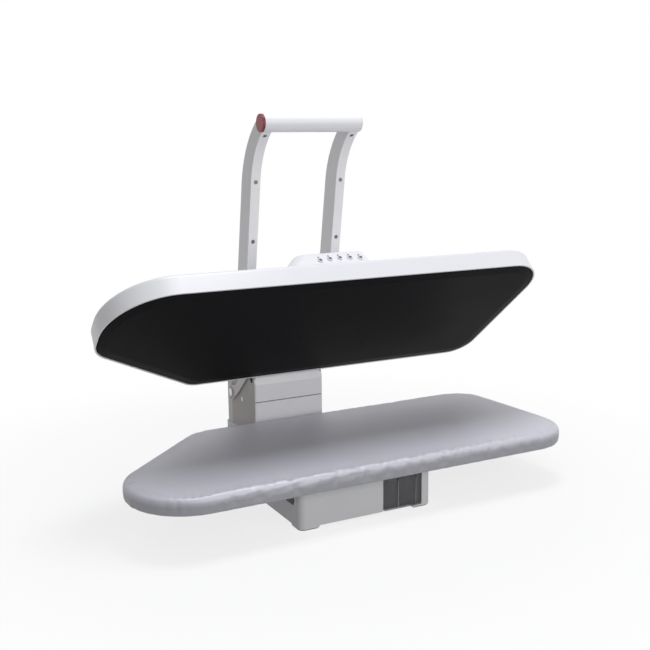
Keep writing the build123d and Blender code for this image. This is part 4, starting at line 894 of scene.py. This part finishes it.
def make_button_marks():
    """A small dark domed inlay in the middle of each console button."""
    for joint in frame["record"]["behaviour"]["joints"]:
        if not joint["name"].startswith("button_push_"):
            continue
        number = joint["name"][-1]
        out = -Vector(joint["axis"]).normalized()
        points = [vertex.co for vertex in frame["nodes"]["console_button_" + number].data.vertices]
        reach = max(point.dot(out) for point in points)
        face = [point for point in points if point.dot(out) > reach - MARK_FACE]
        middle = sum(face, Vector()) / len(face)
        across = Vector((1, 0, 0))
        up = out.cross(across)
        build = bmesh.new()
        rings = []
        for share, height in MARK_RINGS:
            ring = []
            for step in range(MARK_SIDES):
                angle = 2 * pi * step / MARK_SIDES
                flat = (across * cos(angle) + up * sin(angle)) * MARK_RADIUS * share
                ring.append(build.verts.new(middle + flat + out * height * MM))
            rings.append(ring)
        join_rings(build, rings)
        bmesh.ops.remove_doubles(build, verts=build.verts, dist=WELD)
        mark = piece("button_mark_" + number, closed_mesh(build, "button_mark_" + number), "mark_plastic")
        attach(mark, joint["child"])


def make_stitch_tree():
    """Short stitches set end to end along a closed line of points."""
    tree, names, given, out = geometry_tree("stitches", STITCH_SIZES)
    line = feed(tree, add(tree, "GeometryNodeMeshToCurve"), Mesh=given.outputs["Geometry"])
    points = feed(tree, add(tree, "GeometryNodeCurveToPoints", mode="LENGTH"), Curve=line.outputs[0],
                  Length=given.outputs["Pitch"])
    thread = feed(tree, add(tree, "GeometryNodeMeshCylinder"), Vertices=STITCH_SIDES,
                  Radius=given.outputs["Thread Radius"], Depth=given.outputs["Length"])
    spread_and_finish(tree, given, out, points.outputs["Points"], thread.outputs["Mesh"],
                      points.outputs["Tangent"])
    return tree, names


def make_tank_ribs():
    """Painted highlights where the tank's inner ribs meet its front wall: slim, light half-round strips."""
    low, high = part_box("water_tank")
    levels = [(low[2] + rise, size) for rise, size in RIB_LOW_END]
    levels += [(high[2] - drop, size) for drop, size in RIB_HIGH_END]
    build = bmesh.new()
    for rib in RIB_SHARES:
        middle = low[0] + rib * (high[0] - low[0])
        rings = []
        for height, size in levels:
            ring = []
            for step in range(RIB_SIDES + 1):
                angle = pi * step / RIB_SIDES
                depth = RIB_SUNK - RIB_DEPTH * size * sin(angle)
                ring.append(build.verts.new((middle + RIB_HALF * size * cos(angle), low[1] + depth, height)))
            rings.append(ring)
        join_rings(build, rings)
        build.faces.new(rings[0])
        build.faces.new(rings[-1])
    ribs = piece("tank_rib_highlights", closed_mesh(build, "tank_rib_highlights"), "rib_highlight_plastic")
    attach(ribs, "tank")


def make_hem_stitches():
    """The row of stitches that holds the turned-under hem."""
    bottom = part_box("board_cover")[0][2]
    rim = outline_points(STITCH_INSET, STITCH_POINTS)
    places = [BASE_MIDDLE + Vector((point.x, point.y, bottom - STITCH_PROUD)) for point, _ in rim]
    seed = bpy.data.meshes.new("hem_line")
    seed.from_pydata(places, [(index, (index + 1) % len(places)) for index in range(len(places))], [])
    tree, names = make_stitch_tree()
    stitches = baked("hem_stitches", seed, tree, names, STITCH_SIZES, "cover_cloth")
    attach(stitches, "stand")


# Floor, light and camera

def make_floor():
    """A pale floor that keeps a light shadow and fades into the white backdrop."""
    mesh = bpy.data.meshes.new("floor")
    half = 2 * FLOOR_FADE_END
    mesh.from_pydata([(-half, -half, 0), (half, -half, 0), (half, half, 0), (-half, half, 0)], [], [(0, 1, 2, 3)])
    floor = bpy.data.objects.new("floor", mesh)
    bpy.context.scene.collection.objects.link(floor)
    material, tree, shader = blank("floor")
    speck = place_group(tree, MOTTLE, Scale=2.0, Contrast=0.6).outputs["Value"]
    feed(tree, shader, Base_Color=two_tone(tree, speck, colour(0.965, 0.965, 0.965), colour(0.98, 0.98, 0.98)),
         Roughness=0.9)
    reach = add(tree, "ShaderNodeVectorMath", operation="LENGTH")
    tree.links.new(object_coordinates(tree), reach.inputs[0])
    fade = add(tree, "ShaderNodeMapRange", interpolation_type="SMOOTHSTEP")
    feed(tree, fade, Value=reach.outputs["Value"], From_Min=FLOOR_FADE_START, From_Max=FLOOR_FADE_END,
         To_Min=FLOOR_ALPHA, To_Max=0.0)
    tree.links.new(fade.outputs["Result"], shader.inputs["Alpha"])
    mesh.materials.append(material)


def make_world():
    """A soft even light, behind a backdrop that looks plain white."""
    world = bpy.data.worlds.new("studio")
    bpy.context.scene.world = world
    world.use_nodes = True
    tree = world.node_tree
    tree.nodes.clear()
    path = add(tree, "ShaderNodeLightPath")
    seen = path.outputs[WHITE_RAYS[0]]
    for label in WHITE_RAYS[1:]:
        seen = calculate(tree, "MAXIMUM", seen, path.outputs[label])
    soft = feed(tree, add(tree, "ShaderNodeBackground"), Color=SOFT_TINT, Strength=SOFT_STRENGTH)
    white = feed(tree, add(tree, "ShaderNodeBackground"), Color=(1.0, 1.0, 1.0, 1.0), Strength=1.0)
    mix = add(tree, "ShaderNodeMixShader")
    tree.links.new(seen, mix.inputs[0])
    tree.links.new(soft.outputs[0], mix.inputs[1])
    tree.links.new(white.outputs[0], mix.inputs[2])
    out = add(tree, "ShaderNodeOutputWorld")
    tree.links.new(mix.outputs[0], out.inputs["Surface"])


def make_lamp(name, place, target, size, watts, tint):
    """A square soft lamp that faces a target."""
    lamp = bpy.data.lights.new(name, "AREA")
    lamp.shape = "SQUARE"
    lamp.size = size
    lamp.energy = watts
    lamp.color = tint
    holder = bpy.data.objects.new(name, lamp)
    holder.location = place
    holder.rotation_euler = (Vector(target) - Vector(place)).to_track_quat("-Z", "Y").to_euler()
    bpy.context.scene.collection.objects.link(holder)


def make_camera():
    """The camera that the photograph was taken with, as far as its outlines show."""
    camera = bpy.data.cameras.new("camera")
    camera.sensor_width = SENSOR
    camera.lens = FOCAL_PIXELS / PICTURE * SENSOR
    holder = bpy.data.objects.new("camera", camera)
    turn = Matrix.Rotation(-CAMERA_YAW, 4, "Z") @ Matrix.Rotation(pi / 2 - CAMERA_PITCH, 4, "X")
    turn = turn @ Matrix.Rotation(-CAMERA_ROLL, 4, "Z")
    holder.matrix_world = Matrix.Translation(CAMERA_PLACE + BASE_MIDDLE) @ turn
    bpy.context.scene.collection.objects.link(holder)
    bpy.context.scene.camera = holder


make_camera()
make_floor()
make_world()
for lamp_row in LAMPS:
    make_lamp(*lamp_row)
bpy.context.scene.view_settings.view_transform = "Standard"

dress_nodes()
make_board_cover()
screw_tree, screw_names = make_screw_tree()
for kind in SCREW_KINDS:
    make_screws(screw_tree, screw_names, *kind)
make_button_marks()
make_hem_stitches()
make_tank_ribs()
